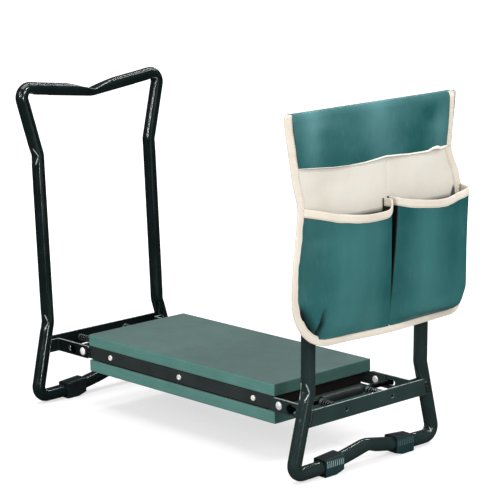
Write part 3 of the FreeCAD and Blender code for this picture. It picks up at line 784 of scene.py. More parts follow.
OXFORD_LOOK = dict(pitch=0.80, gloss=0.46, weave=0.22, sheen=0.0, coat=0.03, spec=0.28)
TAPE_LOOK = dict(pitch=0.70, weave=0.34, spec=0.3)
POCKET_CLOTH = cloth("pouch_oxford_green", base=(52, 106, 106), dark=(20, 78, 79),
                     painted_sheen=pocket_painted_sheen, painted_shade=pocket_painted_shade, **OXFORD_LOOK)
FLAP_CLOTH = cloth("pouch_oxford_flap", base=(82, 130, 132), dark=(22, 79, 80),
                   painted_sheen=flap_painted_sheen, **OXFORD_LOOK)
CANVAS = cloth("pouch_canvas_beige", base=(209, 204, 194), dark=(196, 189, 176), pitch=0.95,
               gloss=0.72, weave=0.34, sheen=0.25, spec=0.3, thread=0.16, painted_shade=canvas_painted_shade)
HEM = cloth("pouch_hem_pale", base=(240, 236, 226), dark=(226, 220, 206), gloss=0.6,
            sheen=0.22, **TAPE_LOOK)
TAPE = cloth("pouch_tape_beige", base=(214, 206, 193), dark=(196, 184, 168), gloss=0.68,
             sheen=0.22, thread=0.18, **TAPE_LOOK)
# painted shade: a darker copy of the tape's finish for the strip turned back at the flap's right
SHADED_TAPE = cloth("pouch_tape_shaded", base=(150, 142, 128), dark=(132, 122, 108), gloss=0.68,
                    sheen=0.10, thread=0.18, **TAPE_LOOK)
THREAD = stitch_thread("thread_cream", base=(178, 164, 142))


# ---------------------------------------------------------------- CAD pieces kept as drawn
def dress(node, material, bevel):
    """Welds a CAD node, eases its edges by `bevel` and gives it a finish."""
    piece = NODES[node]
    piece.data.materials.clear()
    piece.data.materials.append(material)
    bpy.context.view_layer.objects.active = piece
    if piece.data.has_custom_normals:
        bpy.ops.mesh.customdata_custom_splitnormals_clear()
    piece.data.polygons.foreach_set("use_smooth", [True] * len(piece.data.polygons))
    weld = piece.modifiers.new("weld", "WELD")
    weld.merge_threshold = 2e-6
    if bevel > 0:
        eased = piece.modifiers.new("ease", "BEVEL")
        eased.width = bevel * MM
        eased.segments = 2
        eased.limit_method = "ANGLE"
        eased.angle_limit = math.radians(38.0)
        eased.use_clamp_overlap = True
        eased.harden_normals = False
    piece.modifiers.new("shade", "WEIGHTED_NORMAL").weight = 80


for end in ("front", "rear"):
    dress(end + "_side_rail", RAIL, bevel=0.35)
    dress(end + "_rail_screws", ZINC, bevel=0.0)
dress("seat_board", BOARD, bevel=0.4)
for side in ("left", "right"):
    for part, finish, bevel in (
            ("pivot_rivets", ZINC, 0.0), ("pivot_washers", WASHER, 0.15),
            ("cross_rail", STRIP[side], 0.45), ("front_hinge_arm", STRIP[side], 0.4),
            ("rear_hinge_arm", STRIP[side], 0.4), ("front_foot_sleeve", FOOT[side], 0.35),
            ("rear_foot_sleeve", FOOT[side], 0.35), ("lock_rod", ROD, 0.0),
            ("lock_grip", GRIP, 0.0), ("spring_guide_pins", PIN, 0.15)):
        dress(side + "_" + part, finish, bevel)


# ---------------------------------------------------------------- foam pads
PAD_ROUND = 1.6             # radius of the pad's edges
PAD_STEPS = (84, 40, 6)     # points along each flat
PAD_BOW = 0.16              # depth of the hollows in the faces
PAD_WANDER = 0.22           # how far the sides wander


def pad_axis(count, half):
    """Stations along one axis, crowded towards the rounded edges."""
    flat = half - PAD_ROUND
    bend = np.sin(np.linspace(0, math.pi / 2, 4)[1:]) * PAD_ROUND
    return np.r_[-flat - bend[::-1], np.linspace(-flat, flat, count), flat + bend]


def foam_pad(name, node, seed):
    """A square-cut slab with eased edges and faces not quite flat."""
    low, high = box_mm(node)
    half = (high - low) / 2
    flat = half - PAD_ROUND
    axes = [pad_axis(count, size) for count, size in zip(PAD_STEPS, half)]
    last = [len(stations) - 1 for stations in axes]
    verts = []
    faces = []
    ids = {}

    def vertex(index):
        if index not in ids:
            point = np.array([stations[i] for stations, i in zip(axes, index)])
            core = np.clip(point, -flat, flat)
            reach = point - core
            length = np.linalg.norm(reach)
            if length > 1e-9:
                point = core + reach / length * np.max(np.abs(reach))
            ids[index] = len(verts)
            verts.append(point)
        return ids[index]

    forward = ((0, 0), (1, 0), (1, 1), (0, 1))
    reverse = ((0, 0), (0, 1), (1, 1), (1, 0))
    # the two axes of a pair of sides, the axis they face, and each side's station and winding
    for u, v, across, sides in (
            (0, 1, 2, ((last[2], forward), (0, reverse))),
            (0, 2, 1, ((0, forward), (last[1], reverse))),
            (1, 2, 0, ((0, reverse), (last[0], forward)))):
        for i, j in itertools.product(range(last[u]), range(last[v])):
            for station, corners in sides:
                quad = []
                for di, dj in corners:
                    place = {u: i + di, v: j + dj, across: station}
                    quad.append(vertex((place[0], place[1], place[2])))
                faces.append(quad)

    verts = np.array(verts)
    inner = (ease(half[0] - np.abs(verts[:, 0]), over=(0, 12))
             * ease(half[1] - np.abs(verts[:, 1]), over=(0, 12)))
    hollow = ripples(verts + seed * 50, (PAD_BOW, 70, seed)) - PAD_BOW
    verts[:, 2] += hollow * inner * np.sign(verts[:, 2]) * (np.abs(verts[:, 2]) > flat[2])
    wander = PAD_WANDER * noise(verts + 31, size=55, seed=seed + 3) - PAD_WANDER
    for axis in (1, 0):
        on_side = np.abs(verts[:, axis]) > flat[axis]
        verts[:, axis] += np.where(on_side, wander * np.sign(verts[:, axis]), 0)
    piece = make_solid(name, verts + (low + high) / 2, faces, FOAM)
    attach(piece, "seat", node)


foam_pad("kneeling_foam_top", "upper_foam_pad", seed=3)
foam_pad("kneeling_foam_bottom", "lower_foam_pad", seed=8)


# ---------------------------------------------------------------- leg tubes
TUBE_RADIUS = 10.0
TUBE_SIDES = 44
TUBE_STEP = 1.5
LEG_X = 290.0
LEG_LEAN = math.radians(1.7)
PIVOT_Z = 79.4              # the height about which the legs lean
# half of the tube's loop, from top centre down to bottom centre: corner y, corner z,
# bend radius, then the crushed facet's depth, half length and sideways swell
HALF_LOOP = [
    (0.0, 466.0, 40.0, 8.2, 48.0, 1.6),
    (137.0, 482.2, 14.0, 5.0, 22.0, 1.0),
    (110.0, 377.0, 32.0, 4.6, 19.0, 0.9),
    (110.0, 116.0, 32.0, 4.2, 18.0, 0.8),
    (138.5, 2.0, 14.0, 3.0, 13.0, 0.7),
    (72.0, 2.5, 40.0, 0.0, 0.0, 0.0),
    (0.0, 16.0, 40.0, 4.2, 22.0, 1.0)]
BENDS = HALF_LOOP + [(-y, *rest) for y, *rest in HALF_LOOP[-2:0:-1]]


def rounded_loop():
    """Even points round the loop, their distances, its length, and each bend's distance
    and direction towards its inside."""
    corners = np.array([bend[:2] for bend in BENDS])
    arcs = []
    insides = []
    for i, corner in enumerate(corners):
        radius = BENDS[i][2]
        back = corners[i - 1] - corner
        back = back / np.linalg.norm(back)
        ahead = corners[(i + 1) % len(corners)] - corner
        ahead = ahead / np.linalg.norm(ahead)
        half = math.acos(np.clip(back @ ahead, -1, 1)) / 2
        cut = radius / math.tan(half)
        inside = (back + ahead) / np.linalg.norm(back + ahead)
        centre = corner + inside * radius / math.sin(half)
        start = math.atan2(*(corner + back * cut - centre)[::-1])
        end = math.atan2(*(corner + ahead * cut - centre)[::-1])
        turn = (end - start + math.pi) % (2 * math.pi) - math.pi
        count = max(4, int(abs(turn) * radius / 0.8))
        arcs.append([centre + radius * np.array([math.cos(start + turn * t),
                                                 math.sin(start + turn * t)])
                     for t in np.linspace(0, 1, count)])
        insides.append(inside)
    points = []
    for i, arc in enumerate(arcs):
        points += arc
        straight = arcs[(i + 1) % len(arcs)][0] - arc[-1]
        count = int(np.linalg.norm(straight) / 2.0)
        points += [arc[-1] + straight * t for t in np.linspace(0, 1, count + 1)[1:-1]]
    points = np.array(points + [points[0]])
    measured = distance_along(points)
    total = measured[-1]
    distance = np.arange(0, total, total / round(total / TUBE_STEP))
    path = at_distance(points, measured, distance)
    places = []
    for arc, inside in zip(arcs, insides):
        nearest = np.argmin(np.linalg.norm(path - arc[len(arc) // 2], axis=1))
        places.append((distance[nearest], inside))
    return path, distance, total, places


def crushed_rings(normals, distance, total, places):
    """Ring offsets in and across the leg's plane, crushed inside each bend, and the
    share of painted highlight at each point, along the crushed facets' rims."""
    angles = np.linspace(0, 2 * math.pi, TUBE_SIDES, endpoint=False)
    in_plane = np.tile(np.cos(angles) * TUBE_RADIUS, (len(distance), 1))
    across = np.tile(np.sin(angles) * TUBE_RADIUS, (len(distance), 1))
    crease = np.zeros(across.shape)
    for (place, inside), (*_, depth, half_length, swell) in zip(places, BENDS):
        if depth <= 0:
            continue
        away = np.abs((distance - place + total / 2) % total - total / 2)
        near = (away < half_length * 2.2)[:, None]
        sign = np.sign((normals * inside).sum(1))[:, None]
        share = np.clip(1 - away / half_length, -1.2, 1)[:, None]
        # the facet, its deepest line rounded
        soft = 0.5 * (share + np.sqrt(share * share + 0.012))
        limit = np.where(near, TUBE_RADIUS - depth * soft, 99.0)
        outer = in_plane * sign
        blend = 0.9         # rounds the facet's rims
        cut = 0.5 * (outer + limit - np.sqrt((outer - limit) ** 2 + blend * blend))
        # a groove down the facet's middle makes it read as a V
        middle = bell(across, centre=0, width=3.6)
        groove = 0.26 * depth * np.clip(share, 0, 1) * middle * (outer > 0)
        cut = np.where(outer > 0, cut - groove, outer)
        lost = np.clip(outer - cut, 0, None)
        highlight_rim = bell(outer - limit, centre=0.2, width=0.75) * ease(share, over=(0.05, 0.45))
        highlight_rim = highlight_rim * (outer > 0) * near * min(1.0, depth / 3.2) * ease(
            np.abs(across), over=(TUBE_RADIUS * 0.25, TUBE_RADIUS * 0.5))
        crease = np.maximum(crease, highlight_rim)
        crushed = near & (sign != 0)
        widened = across * (1 + swell * np.clip(share, 0, 1) ** 2 * 0.05 + 0.012 * lost)
        across = np.where(crushed, widened, across)
        in_plane = np.where(crushed, cut * sign, in_plane)
    return in_plane, across, crease


def leg_tube(side):
    path, distance, total, places = rounded_loop()
    tangents = unit(np.roll(path, -2, axis=0) - np.roll(path, 2, axis=0))
    normals = np.stack([-tangents[:, 1], tangents[:, 0]], 1)
    in_plane, x, crease = crushed_rings(normals, distance, total, places)
    y = path[:, None, 0] + normals[:, None, 0] * in_plane
    z = path[:, None, 1] + normals[:, None, 1] * in_plane - PIVOT_Z
    leaned_x = LEG_X + x * math.cos(LEG_LEAN) + z * math.sin(LEG_LEAN)
    leaned_z = PIVOT_Z - x * math.sin(LEG_LEAN) + z * math.cos(LEG_LEAN)
    if side == "left":
        leaned_x = -leaned_x
    index = np.arange(x.size).reshape(x.shape)
    ahead = np.roll(index, -1, 0)
    faces = np.stack([index, ahead, np.roll(ahead, -1, 1), np.roll(index, -1, 1)], -1)
    verts = np.stack([leaned_x, y, leaned_z], -1).reshape(-1, 3)
    piece = make_solid(side + "_bent_tube", verts, faces.reshape(-1, 4), TUBE[side])
    # the crease attribute carries where the painted highlight goes on the bends' rims
    mark = piece.data.attributes.new("crease", "FLOAT", "POINT")
    mark.data.foreach_set("value", crease.ravel().astype(np.float32))
    attach(piece, side + "_leg", side + "_leg_tube")


# ---------------------------------------------------------------- welds
def solids_of(node):
    """The separate solids of a CAD node, as arrays of points in millimetres."""
    mesh = NODES[node].data
    points = np.zeros(len(mesh.vertices) * 3)
    mesh.vertices.foreach_get("co", points)
    points = points.reshape(-1, 3) / MM - [0, 0, LIFT]
    first_at = {}
    twin = [first_at.setdefault(tuple(p), i) for i, p in enumerate(np.round(points, 3))]
    parent = list(range(len(points)))

    def root(i):
        while parent[i] != i:
            parent[i] = parent[parent[i]]
            i = parent[i]
        return i

    for edge in mesh.edges:
        start, end = (root(twin[i]) for i in edge.vertices)
        if start != end:
            parent[start] = end
    groups = {}
    for i in range(len(points)):
        groups.setdefault(root(twin[i]), []).append(i)
    return [points[group] for group in groups.values() if len(group) > 8]


def weld_runs(side):
    """Beads laid as overlapping ripples where the CAD's beads are."""
    pitch = 1.25
    bead_radius = 2.05
    bands, sides = 8, 12
    rng = np.random.RandomState(5 if side == "left" else 6)
    polar = np.linspace(0, math.pi, bands + 1)[:, None, None]
    turn = np.array(circle(sides))
    faces = ring_quads(bands, sides)
    parts = []
    for points in solids_of(side + "_weld_beads"):
        centre = points.mean(0)
        axis = np.linalg.svd(points - centre)[2][0]
        if axis[2] <= 0:
            axis = -axis
        along = (points - centre) @ axis
        start, end = along.min() + 1.2, along.max() - 1.2
        across = unit(np.cross(axis, [0, 1, 0.2]))
        spokes = turn[:, :1] * across + turn[:, 1:] * np.cross(axis, across)
        for place in np.linspace(start, end, int((end - start) / pitch) + 1):
            middle = centre + axis * place + rng.uniform(-0.18, 0.18, 3)
            radius = bead_radius + rng.uniform(-0.15, 0.2)
            bulge = np.cos(polar) * radius * 0.62 - 0.35 * np.sin(polar) ** 2
            verts = middle + axis * bulge + spokes * np.sin(polar) * radius
            parts.append((verts.reshape(-1, 3), faces))
    piece = make_solid(side + "_weld_ripples", *join(parts), WELD, merge=True)
    attach(piece, side + "_leg", side + "_weld_beads")


# ---------------------------------------------------------------- lock springs
WIRE_RADIUS = 0.8
COIL_RADIUS = 4.6           # to the wire's centre
COIL_TURNS = 12.0
CLOSED_TURNS = 1.5          # at each end
COIL_POINTS = 560


def coil_springs(side):
    """Two round-wire compression springs with closed end coils."""
    low, high = box_mm(side + "_lock_springs")
    start = low[0] + WIRE_RADIUS
    length = high[0] - WIRE_RADIUS - start
    z_centre = (low[2] + high[2]) / 2
    closed = CLOSED_TURNS * 2 * WIRE_RADIUS * 1.04
    turns = np.linspace(0, COIL_TURNS, COIL_POINTS)
    advance = np.interp(turns, [0, CLOSED_TURNS, COIL_TURNS - CLOSED_TURNS, COIL_TURNS],
                        [0, closed, length - closed, length])
    kernel = np.hanning(41)
    kernel /= kernel.sum()
    advance = np.convolve(np.pad(advance, 20, mode="edge"), kernel, "valid")
    angle = 2 * math.pi * turns
    radial = np.stack([np.zeros(COIL_POINTS), np.sin(angle), np.cos(angle)], 1)
    parts = []
    for y_centre in (low[1] + COIL_RADIUS + WIRE_RADIUS, high[1] - COIL_RADIUS - WIRE_RADIUS):
        path = np.stack([start + advance, y_centre + COIL_RADIUS * np.sin(angle),
                         z_centre + COIL_RADIUS * np.cos(angle)], 1)
        out = np.cross(unit(np.gradient(path, axis=0)), radial)
        parts.append(sweep(path, radial, out, circle(9, WIRE_RADIUS)))
    piece = make_solid(side + "_coil_springs", *join(parts), SPRING)
    attach(piece, side + "_leg", side + "_lock_springs")
    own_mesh(piece)


for side in ("left", "right"):
    leg_tube(side)
    weld_runs(side)
    coil_springs(side)


# ---------------------------------------------------------------- pouch: back panel
PANEL_X = float(box_mm("pouch_back_panel")[:, 0].sum() / 2)
FACE_X = PANEL_X + 1.1                                  # where the pockets meet the panel
RIDGE_X = 313.7                                         # the fold at the top of the flap
RIDGE_Z = float(box_mm("pouch_hanging_sleeve")[1][2])

# side edges of the panel (z, y)
LEFT_EDGE = [
    (503, -166.5), (499, -166.5), (478, -165.0), (455, -161.5), (432, -158.0), (410, -154.5),
    (391, -149.5), (380, -146.0), (368, -145.3), (350, -148.0), (329, -151.0), (307, -154.0),
    (284, -156.5), (261, -158.6), (245, -158.8), (231, -156.8), (216, -150.5), (203, -141.5),
    (192, -128.5), (185, -114.0), (181.5, -98.0)]
RIGHT_EDGE = [
    (503, 157.5), (499, 157.0), (477, 155.0), (458, 152.8), (437, 150.5), (424, 149.0),
    (412, 151.0), (404, 155.0), (389, 162.3), (369, 167.8), (350, 169.5), (300, 171.5),
    (250, 172.5), (225, 172.5), (208, 171.0), (197, 168.0), (188, 162.5), (184, 158.0),
    (181.5, 152.0)]
# lower edge (y, z)
LOWER_EDGE = [(-98, 181.5), (-60, 181.0), (0, 178.8), (35, 178.4), (100, 180.4), (152, 181.5)]
# swells: height, y, y width, z, z width
PANEL_SWELLS = [(1.1, -118, 16, 405, 13), (-0.9, -92, 20, 398, 12), (0.8, 96, 20, 404, 12)]


def y_left(z):
    return smooth_table(z, LEFT_EDGE)


def y_right(z):
    return smooth_table(z, RIGHT_EDGE)


def bottom_z(y):
    return np.interp(y, *zip(*LOWER_EDGE))


def panel_x(y, z):
    """Nearly flat, a little puckered under the flap and between the pockets."""
    points = np.stack([y * 0 + 7.0, y, z], -1)
    wave = ripples(points, (0.75, 85, 4), (0.35, 30, 9)) + swells(PANEL_SWELLS, y, z)
    wave = wave - 1.3 * bell(y, centre=21.5, width=2.2) * ease(z, over=(366, 380))
    return PANEL_X + wave * ease(z, over=(498, 470))


def canvas_back():
    inset = 1.0
    levels = np.r_[np.linspace(183.0, 215, 34), np.linspace(216, RIDGE_Z - 2.0, 116)]
    share = np.linspace(0, 1, 120)[:, None]
    left = y_left(levels) + inset
    y = left + (y_right(levels) - inset - left) * share
    z = np.tile(levels, (120, 1))
    z[:, 0] = np.maximum(bottom_z(y[:, 0]) + 1.2, 179.4)
    grid = np.stack([panel_x(y, z), y, z], -1)
    piece = sheet("pouch_canvas_back", grid, 1.3, CANVAS)
    attach(piece, "pouch", "pouch_back_panel")


canvas_back()


# ---------------------------------------------------------------- pouch: pockets
# Section rows: anchor, y offset from it, shares of the gap-side, middle and outer depths,
# and extra x. They run from each pocket's low-y root to its high-y root.
LEFT_SECTION = [
    ("edge", -3.5, 0, 0, 0, -0.2), ("edge", 0, 0, 0, 0, 0.1), ("edge", 7, 0, 0.14, 0, 0),
    ("edge", 22, 0, 0.52, 0, 0), ("edge", 44, 0, 0.86, 0, 0), ("fixed", -70, 0, 1, 0, 0),
    ("fixed", -40, 0, 0.5, 0.5, 0), ("fixed", -14, 0.8, 0.2, 0, 0), ("gap", -8, 1, 0, 0, 0.1),
    ("gap", -1.6, 1, 0, 0, 0), ("gap", -0.2, 0.94, 0, 0, 0), ("gap", 0, 0.82, 0, 0, 0),
    ("gap", 0.1, 0.5, 0, 0, 0), ("gap", 0.1, 0.2, 0, 0, 0), ("gap", 0.2, 0, 0, 0, 0),
    ("gap", 0.5, 0, 0, 0, -0.2)]
RIGHT_SECTION = [
    ("gap", -0.6, 0, 0, 0, -0.2), ("gap", -0.3, 0, 0, 0, 0), ("gap", 0, 0.2, 0, 0, 0),
    ("gap", 0.1, 0.55, 0, 0, 0), ("gap", 0.3, 0.92, 0, 0, 0), ("gap", 2.0, 1, 0, 0, 0),
    ("fixed", 34, 0.75, 0.25, 0, 0), ("fixed", 52, 0.3, 0.7, 0, 0), ("fixed", 78, 0, 1, 0, 0),
    ("fixed", 108, 0, 1, 0, 0), ("corner", -34, 0, 0.6, 0.4, 0),
    ("corner", -14, 0, 0, 0.985, 0), ("corner", -3, 0, 0, 1, 0), ("corner", 0, 0, 0, 0.93, 0),
    ("corner", 1.2, 0, 0, 0.6, 0), ("edge", -1.5, 0, 0, 0.2, 0), ("edge", 0, 0, 0, 0, 0),
    ("edge", 0.6, 0, 0, 0, -0.3)]

# mouth: (y, z) along the top; depths: (z, depth);
# broad, fine: ripples (height, size, seed), the fine one only low down;
# drapes: upright folds (height, y, lean, z where y holds, width, fade-in over pocket height);
# swells: height, y, y width, z, z width
POCKETS = {
    "left": dict(
        mouth=[(-150, 374.5), (-138, 372.0), (-118, 367.5), (-93, 361.0), (-61, 356.0),
               (-39, 353.4), (-18, 352.0), (-6, 352.2), (2, 353.0), (6, 354.6), (9, 358.2),
               (10.6, 362.8), (11.6, 367.0), (22, 367.8)],
        gap_depth=[(184, 0.8), (192, 1.4), (200, 2.4), (210, 3.6), (226, 5.8), (248, 9.2),
                   (272, 12.2), (295, 14.2), (319, 16.2), (342, 18.5), (366, 20.6),
                   (380, 21.4)],
        middle_depth=[(184, 0.8), (190, 1.4), (195, 5.5), (205, 10.5), (220, 14.5),
                      (248, 17.5), (280, 19.5), (320, 20.5), (350, 21.0), (380, 21.0)],
        section=LEFT_SECTION,
        broad=(1.25, 46, 21),
        fine=(0.5, 17, 5),
        drapes=[(1.4, -50, 0.08, 260, 16, (0.05, 0.4)), (-1.2, -92, 0.05, 260, 13, (0.1, 0.5)),
                (-1.0, -12, 0.0, 260, 12, (0.15, 0.5))],
        swells=[(-0.9, -118, 16, 330, 10)]),
    "right": dict(
        mouth=[(18, 369.0), (24, 367.6), (32, 365.2), (46, 362.0), (62, 359.6), (80, 356.8),
               (97, 355.0), (117, 354.6), (135, 357.6), (150, 361.0), (160, 364.0),
               (166, 366.0), (172, 368.0)],
        gap_depth=[(184, 0.8), (192, 1.4), (210, 2.4), (226, 3.6), (247, 6.2), (271, 9.2),
                   (294, 12.4), (318, 15.2), (341, 17.4), (364, 18.8), (380, 19.4)],
        middle_depth=[(184, 0.8), (190, 1.6), (193, 7.0), (196.5, 13.5), (201, 17.5),
                      (208, 19.8), (225, 21.0), (248, 21.6), (280, 22.0), (320, 22.5),
                      (350, 22.5), (380, 22.5)],
        section=RIGHT_SECTION,
        broad=(1.15, 44, 33),
        fine=(0.45, 17, 6),
        drapes=[(1.3, 92, 0.10, 280, 17, (0.05, 0.4)), (-1.6, 139, 0.04, 280, 9, (0.25, 0.75)),
                (-1.0, 52, 0.0, 280, 13, (0.1, 0.5))],
        swells=[(-1.6, 150, 7, 212, 12), (1.2, 120, 24, 205, 9)])}
# the right pocket's outer corner: (z, depth) and (z, y)
RIGHT_OUTER_DEPTH = [
    (184, 0.8), (190, 1.6), (193, 8.0), (196.5, 15.0), (201, 19.5), (209, 21.6), (226, 22.0),
    (248, 22.2), (296, 22.8), (354, 23.4), (380, 23.6)]
RIGHT_CORNER_Y = [
    (184, 133.0), (190, 136.5), (196.5, 141.5), (201, 146.5), (211, 152.8), (222, 156.4),
    (254, 157.8), (296, 159.4), (316, 160.2), (354, 161.8), (380, 162.2)]


def section_controls(which, z):
    """Control points (y, x) of a pocket's sheet at one height."""
    pocket = POCKETS[which]
    rise = float(np.clip((z - GAP_LOW) / (GAP_HIGH - GAP_LOW), 0, 1))
    gap_centre = GAP_Y + GAP_SHIFT * rise
    gap_half = 0.8 * (0.8 + 5.4 * rise)
    gap_depth = smooth_table(z, pocket["gap_depth"])
    middle = smooth_table(z, pocket["middle_depth"])
    if which == "left":
        outer = max(gap_depth, 0.9 * middle)
        anchors = {"edge": y_left(z) + 9.0 + max(215 - z, 0) * 0.12,
                   "gap": gap_centre - gap_half}
    else:
        outer = smooth_table(z, RIGHT_OUTER_DEPTH)
        corner = smooth_table(z, RIGHT_CORNER_Y)
        anchors = {"edge": min(y_right(z) - 1.0, corner + 5.5), "corner": corner,
                   "gap": gap_centre + gap_half}
    anchors["fixed"] = 0.0
    return [(anchors[anchor] + offset,
             FACE_X + of_gap * gap_depth + of_middle * middle + of_outer * outer + extra)
            for anchor, offset, of_gap, of_middle, of_outer, extra in pocket["section"]]


def pocket_grid(which):
    columns, rows = 150, 110
    levels = np.linspace(184.0, 371.0, 64)
    sections = np.array([resample(spline(section_controls(which, z), 260), columns)
                         for z in levels])
    t = np.linspace(0, 1, rows)
    t = 0.45 * t + 0.55 * t * t
    grid = np.zeros((columns, rows, 3))
    for i in range(columns):
        y, x = sections[:, i].T
        top = np.interp(y[-8], *zip(*POCKETS[which]["mouth"]))
        bottom = bottom_z(np.clip(y[6], -98, 152)) + 9.6
        z = bottom + (top - bottom) * t
        grid[i] = np.stack([np.interp(z, levels, x), np.interp(z, levels, y), z], 1)
    relax(grid[..., :2], times=2)       # keeps the corners soft
    return grid


def lower_left_pleats(y, z):
    """The left pocket's leaning pleat and the fold that crosses it."""
    axis = PLEAT_Y + (z - PLEAT_Z) * PLEAT_LEAN
    relief = -9.0 * bell(y, axis, width=3.2) * ease(z, over=(242, 200)) * ease(z, over=(188, 194))
    relief = relief + 1.0 * bell(y, axis + 9, width=6.0) * ease(z, over=(232, 196))
    line = ((z - FOLD_Z) + FOLD_SLOPE * (y - FOLD_Y)) / FOLD_NORM + 3.0
    start = ease(y, over=(-150, -138))
    relief = relief - 5.0 * bell(line, centre=0, width=5.0) * start * ease(y, over=(-112, -120))
    return relief + 1.6 * bell(line, centre=12, width=7.0) * start * ease(y, over=(-108, -120))


def draped(grid, which):
    """Adds folds to a pocket: upright drapes, slack, and the left one's pleats."""
    pocket = POCKETS[which]
    x, y, z = grid[..., 0], grid[..., 1], grid[..., 2]
    across = np.linspace(0, 1, grid.shape[0])[:, None]
    up = np.linspace(0, 1, grid.shape[1])[None, :]
    stretched = np.stack([x * 0.2, y, z * 0.42], -1)
    relief = (ripples(stretched, pocket["broad"])
              + ripples(stretched, pocket["fine"]) * ease(up, over=(0.6, 0.1)))
    for rise, centre, lean, level, width, fade in pocket["drapes"]:
        relief = relief + rise * bell(y, centre + lean * (z - level), width) * ease(up, fade)
    relief = relief + swells(pocket["swells"], y, z)
    if which == "left":
        relief = relief + lower_left_pleats(y, z)
    held = (ease(across, over=(0.02, 0.10)) * ease(across, over=(1.0, 0.90))
            * ease(up, over=(0, 0.06)))
    grid = grid + grid_normals(grid, facing=1) * (relief * held)[..., None]
    grid[..., 0] = np.maximum(grid[..., 0], FACE_X - 0.3)
    return grid


def mouth_tape(which, grid):
    """Folded tape over a pocket's mouth, stitched on both faces."""
    up = unit(grid[:, -1] - grid[:, -9])
    out = grid_normals(grid, facing=1)[:, -3]
    relax(up, times=4)
    relax(out, times=4)
    inner = slice(3, -3)
    path = (grid[:, -1] + up)[inner]
    scale = np.stack([1 + 0.45 * noise(path, size=14, seed=3) / 11.5,
                      1 + 0.10 * noise(path + 50, size=7, seed=5)], 1)
    name = "pouch_%s_mouth_" % which
    sew(name + "tape", name + "stitches",
        [tape(path, -up[inner], unit(out)[inner], width=11.4, thickness=2.5, seam_inset=9.4,
              seam_rise=1.32, scale=scale, both_faces=True)])


pocket_grids = {which: draped(pocket_grid(which), which) for which in POCKETS}
for which, grid in pocket_grids.items():
    pocket = sheet("pouch_%s_pocket_cloth" % which, grid, 0.9, POCKET_CLOTH)
    attach(pocket, "pouch", "pouch_%s_pocket" % which)
for which, grid in pocket_grids.items():
    mouth_tape(which, grid)


# ---------------------------------------------------------------- pouch: edge tape
def panel_outline():
    """(y, z) from the top left, down, round the bottom and up to the top right."""
    fall = np.linspace(RIDGE_Z - 1.2, 183.5, 150)
    across = np.linspace(-94, 148, 110)
    outline = np.vstack([np.stack([y_left(fall), fall], 1),
                         np.stack([across, bottom_z(across)], 1),
                         np.stack([y_right(fall), fall], 1)[::-1]])
    outline = resample(outline, 520)
    relax(outline, times=3)
    return outline


def edge_tape():
    """Tape folded over the panel's two sides and its lower edge."""
    width = 13.2
    outline = panel_outline()
    along = unit(np.gradient(outline, axis=0))
    inward = np.stack([np.zeros(len(along)), -along[:, 1], along[:, 0]], 1)
    under = outline + inward[:, 1:] * 6
    path = np.column_stack([panel_x(under[:, 0], under[:, 1]) + 0.25, outline]) - inward * 0.6
    share = np.interp(outline[:, 1], [178, 192, 215], [0.86, 0.90, 1.0])
    share = share + 0.045 * noise(path, size=22, seed=8)
    scale = np.stack([share, 1 + 0.10 * noise(path + 9, size=9, seed=2)], 1)
    sew("pouch_edge_tape", "pouch_edge_stitches",
        [tape(path, inward, [1.0, 0, 0], width, thickness=3.4,
              seam_inset=(width - 2.2) * share[:, None], seam_rise=1.72, scale=scale,
              both_faces=True)],
        replaces="pouch_edge_binding")


edge_tape()


# ---------------------------------------------------------------- pouch: flap
# lower edge (y, z)
FLAP_LOW = [
    (-160, 428.5), (-147, 427.5), (-110, 424.7), (-85, 422.4), (-53, 420.7), (-24, 420.4),
    (-4.5, 422.3), (15, 424.4), (35, 423.4), (62, 421.3), (86, 420.9), (97, 421.3),
    (105, 424.2), (114, 425.0), (124, 422.0), (138, 423.4), (150, 424.5)]
# waves of the lower edge in and out: height, y, width
FLAP_WAVES = [(1.5, -96, 40), (2.0, 20, 26), (-0.8, 66, 22), (3.6, 110, 15), (-0.6, -28, 18)]
# height, y, y width, z, z width
FLAP_SWELLS = [(0.9, 112, 18, 452, 22), (-0.9, 128, 10, 452, 24)]
FLAP_LEFT_INSET = 12.4      # from the panel's edges
FLAP_RIGHT_INSET = 8.0
FLAP_BACK_ROWS = 8          # grid rows behind the ridge


def flap_x(y, z):
    """Hangs clear of the panel: closest at the ridge, with a soft belly and a wavy foot."""
    drop = np.clip((RIDGE_Z - z) / (RIDGE_Z - 422.0), 0, 1)
    base = RIDGE_X + 0.9 + 2.6 * ease(drop, over=(0, 0.10)) + 0.9 * np.sin(math.pi * drop)
    free = ease(y - y_left(z) - 9, over=(0, 26)) * ease(y_right(z) - 9 - y, over=(0, 26))
    wave = ripples(np.stack([y * 0 + 3.0, y, z], -1), (1.5, 62, 12), (0.5, 26, 13))
    wave = wave + drop ** 2.2 * sum(rise * bell(y, centre, width)
                                    for rise, centre, width in FLAP_WAVES)
    wave = wave + swells(FLAP_SWELLS, y, z)
    return base + (wave * ease(drop, over=(0.02, 0.2)) + 0.9) * free


def flap_grid():
    share = np.linspace(0, 1, 150)[:, None]
    drop = np.linspace(0, 1, 70)[None, :]
    foot_level = 423.0      # where the foot's ends are taken
    foot_y = ((1 - share) * (y_left(foot_level) + FLAP_LEFT_INSET)
              + share * (y_right(foot_level) - FLAP_RIGHT_INSET))
    top = RIDGE_Z - 0.25
    z = top - (top - np.interp(foot_y, *zip(*FLAP_LOW))) * drop
    left = y_left(z) + FLAP_LEFT_INSET
    y = left + (y_right(z) - FLAP_RIGHT_INSET - left) * share
    return np.stack([flap_x(y, z), y, z], -1)


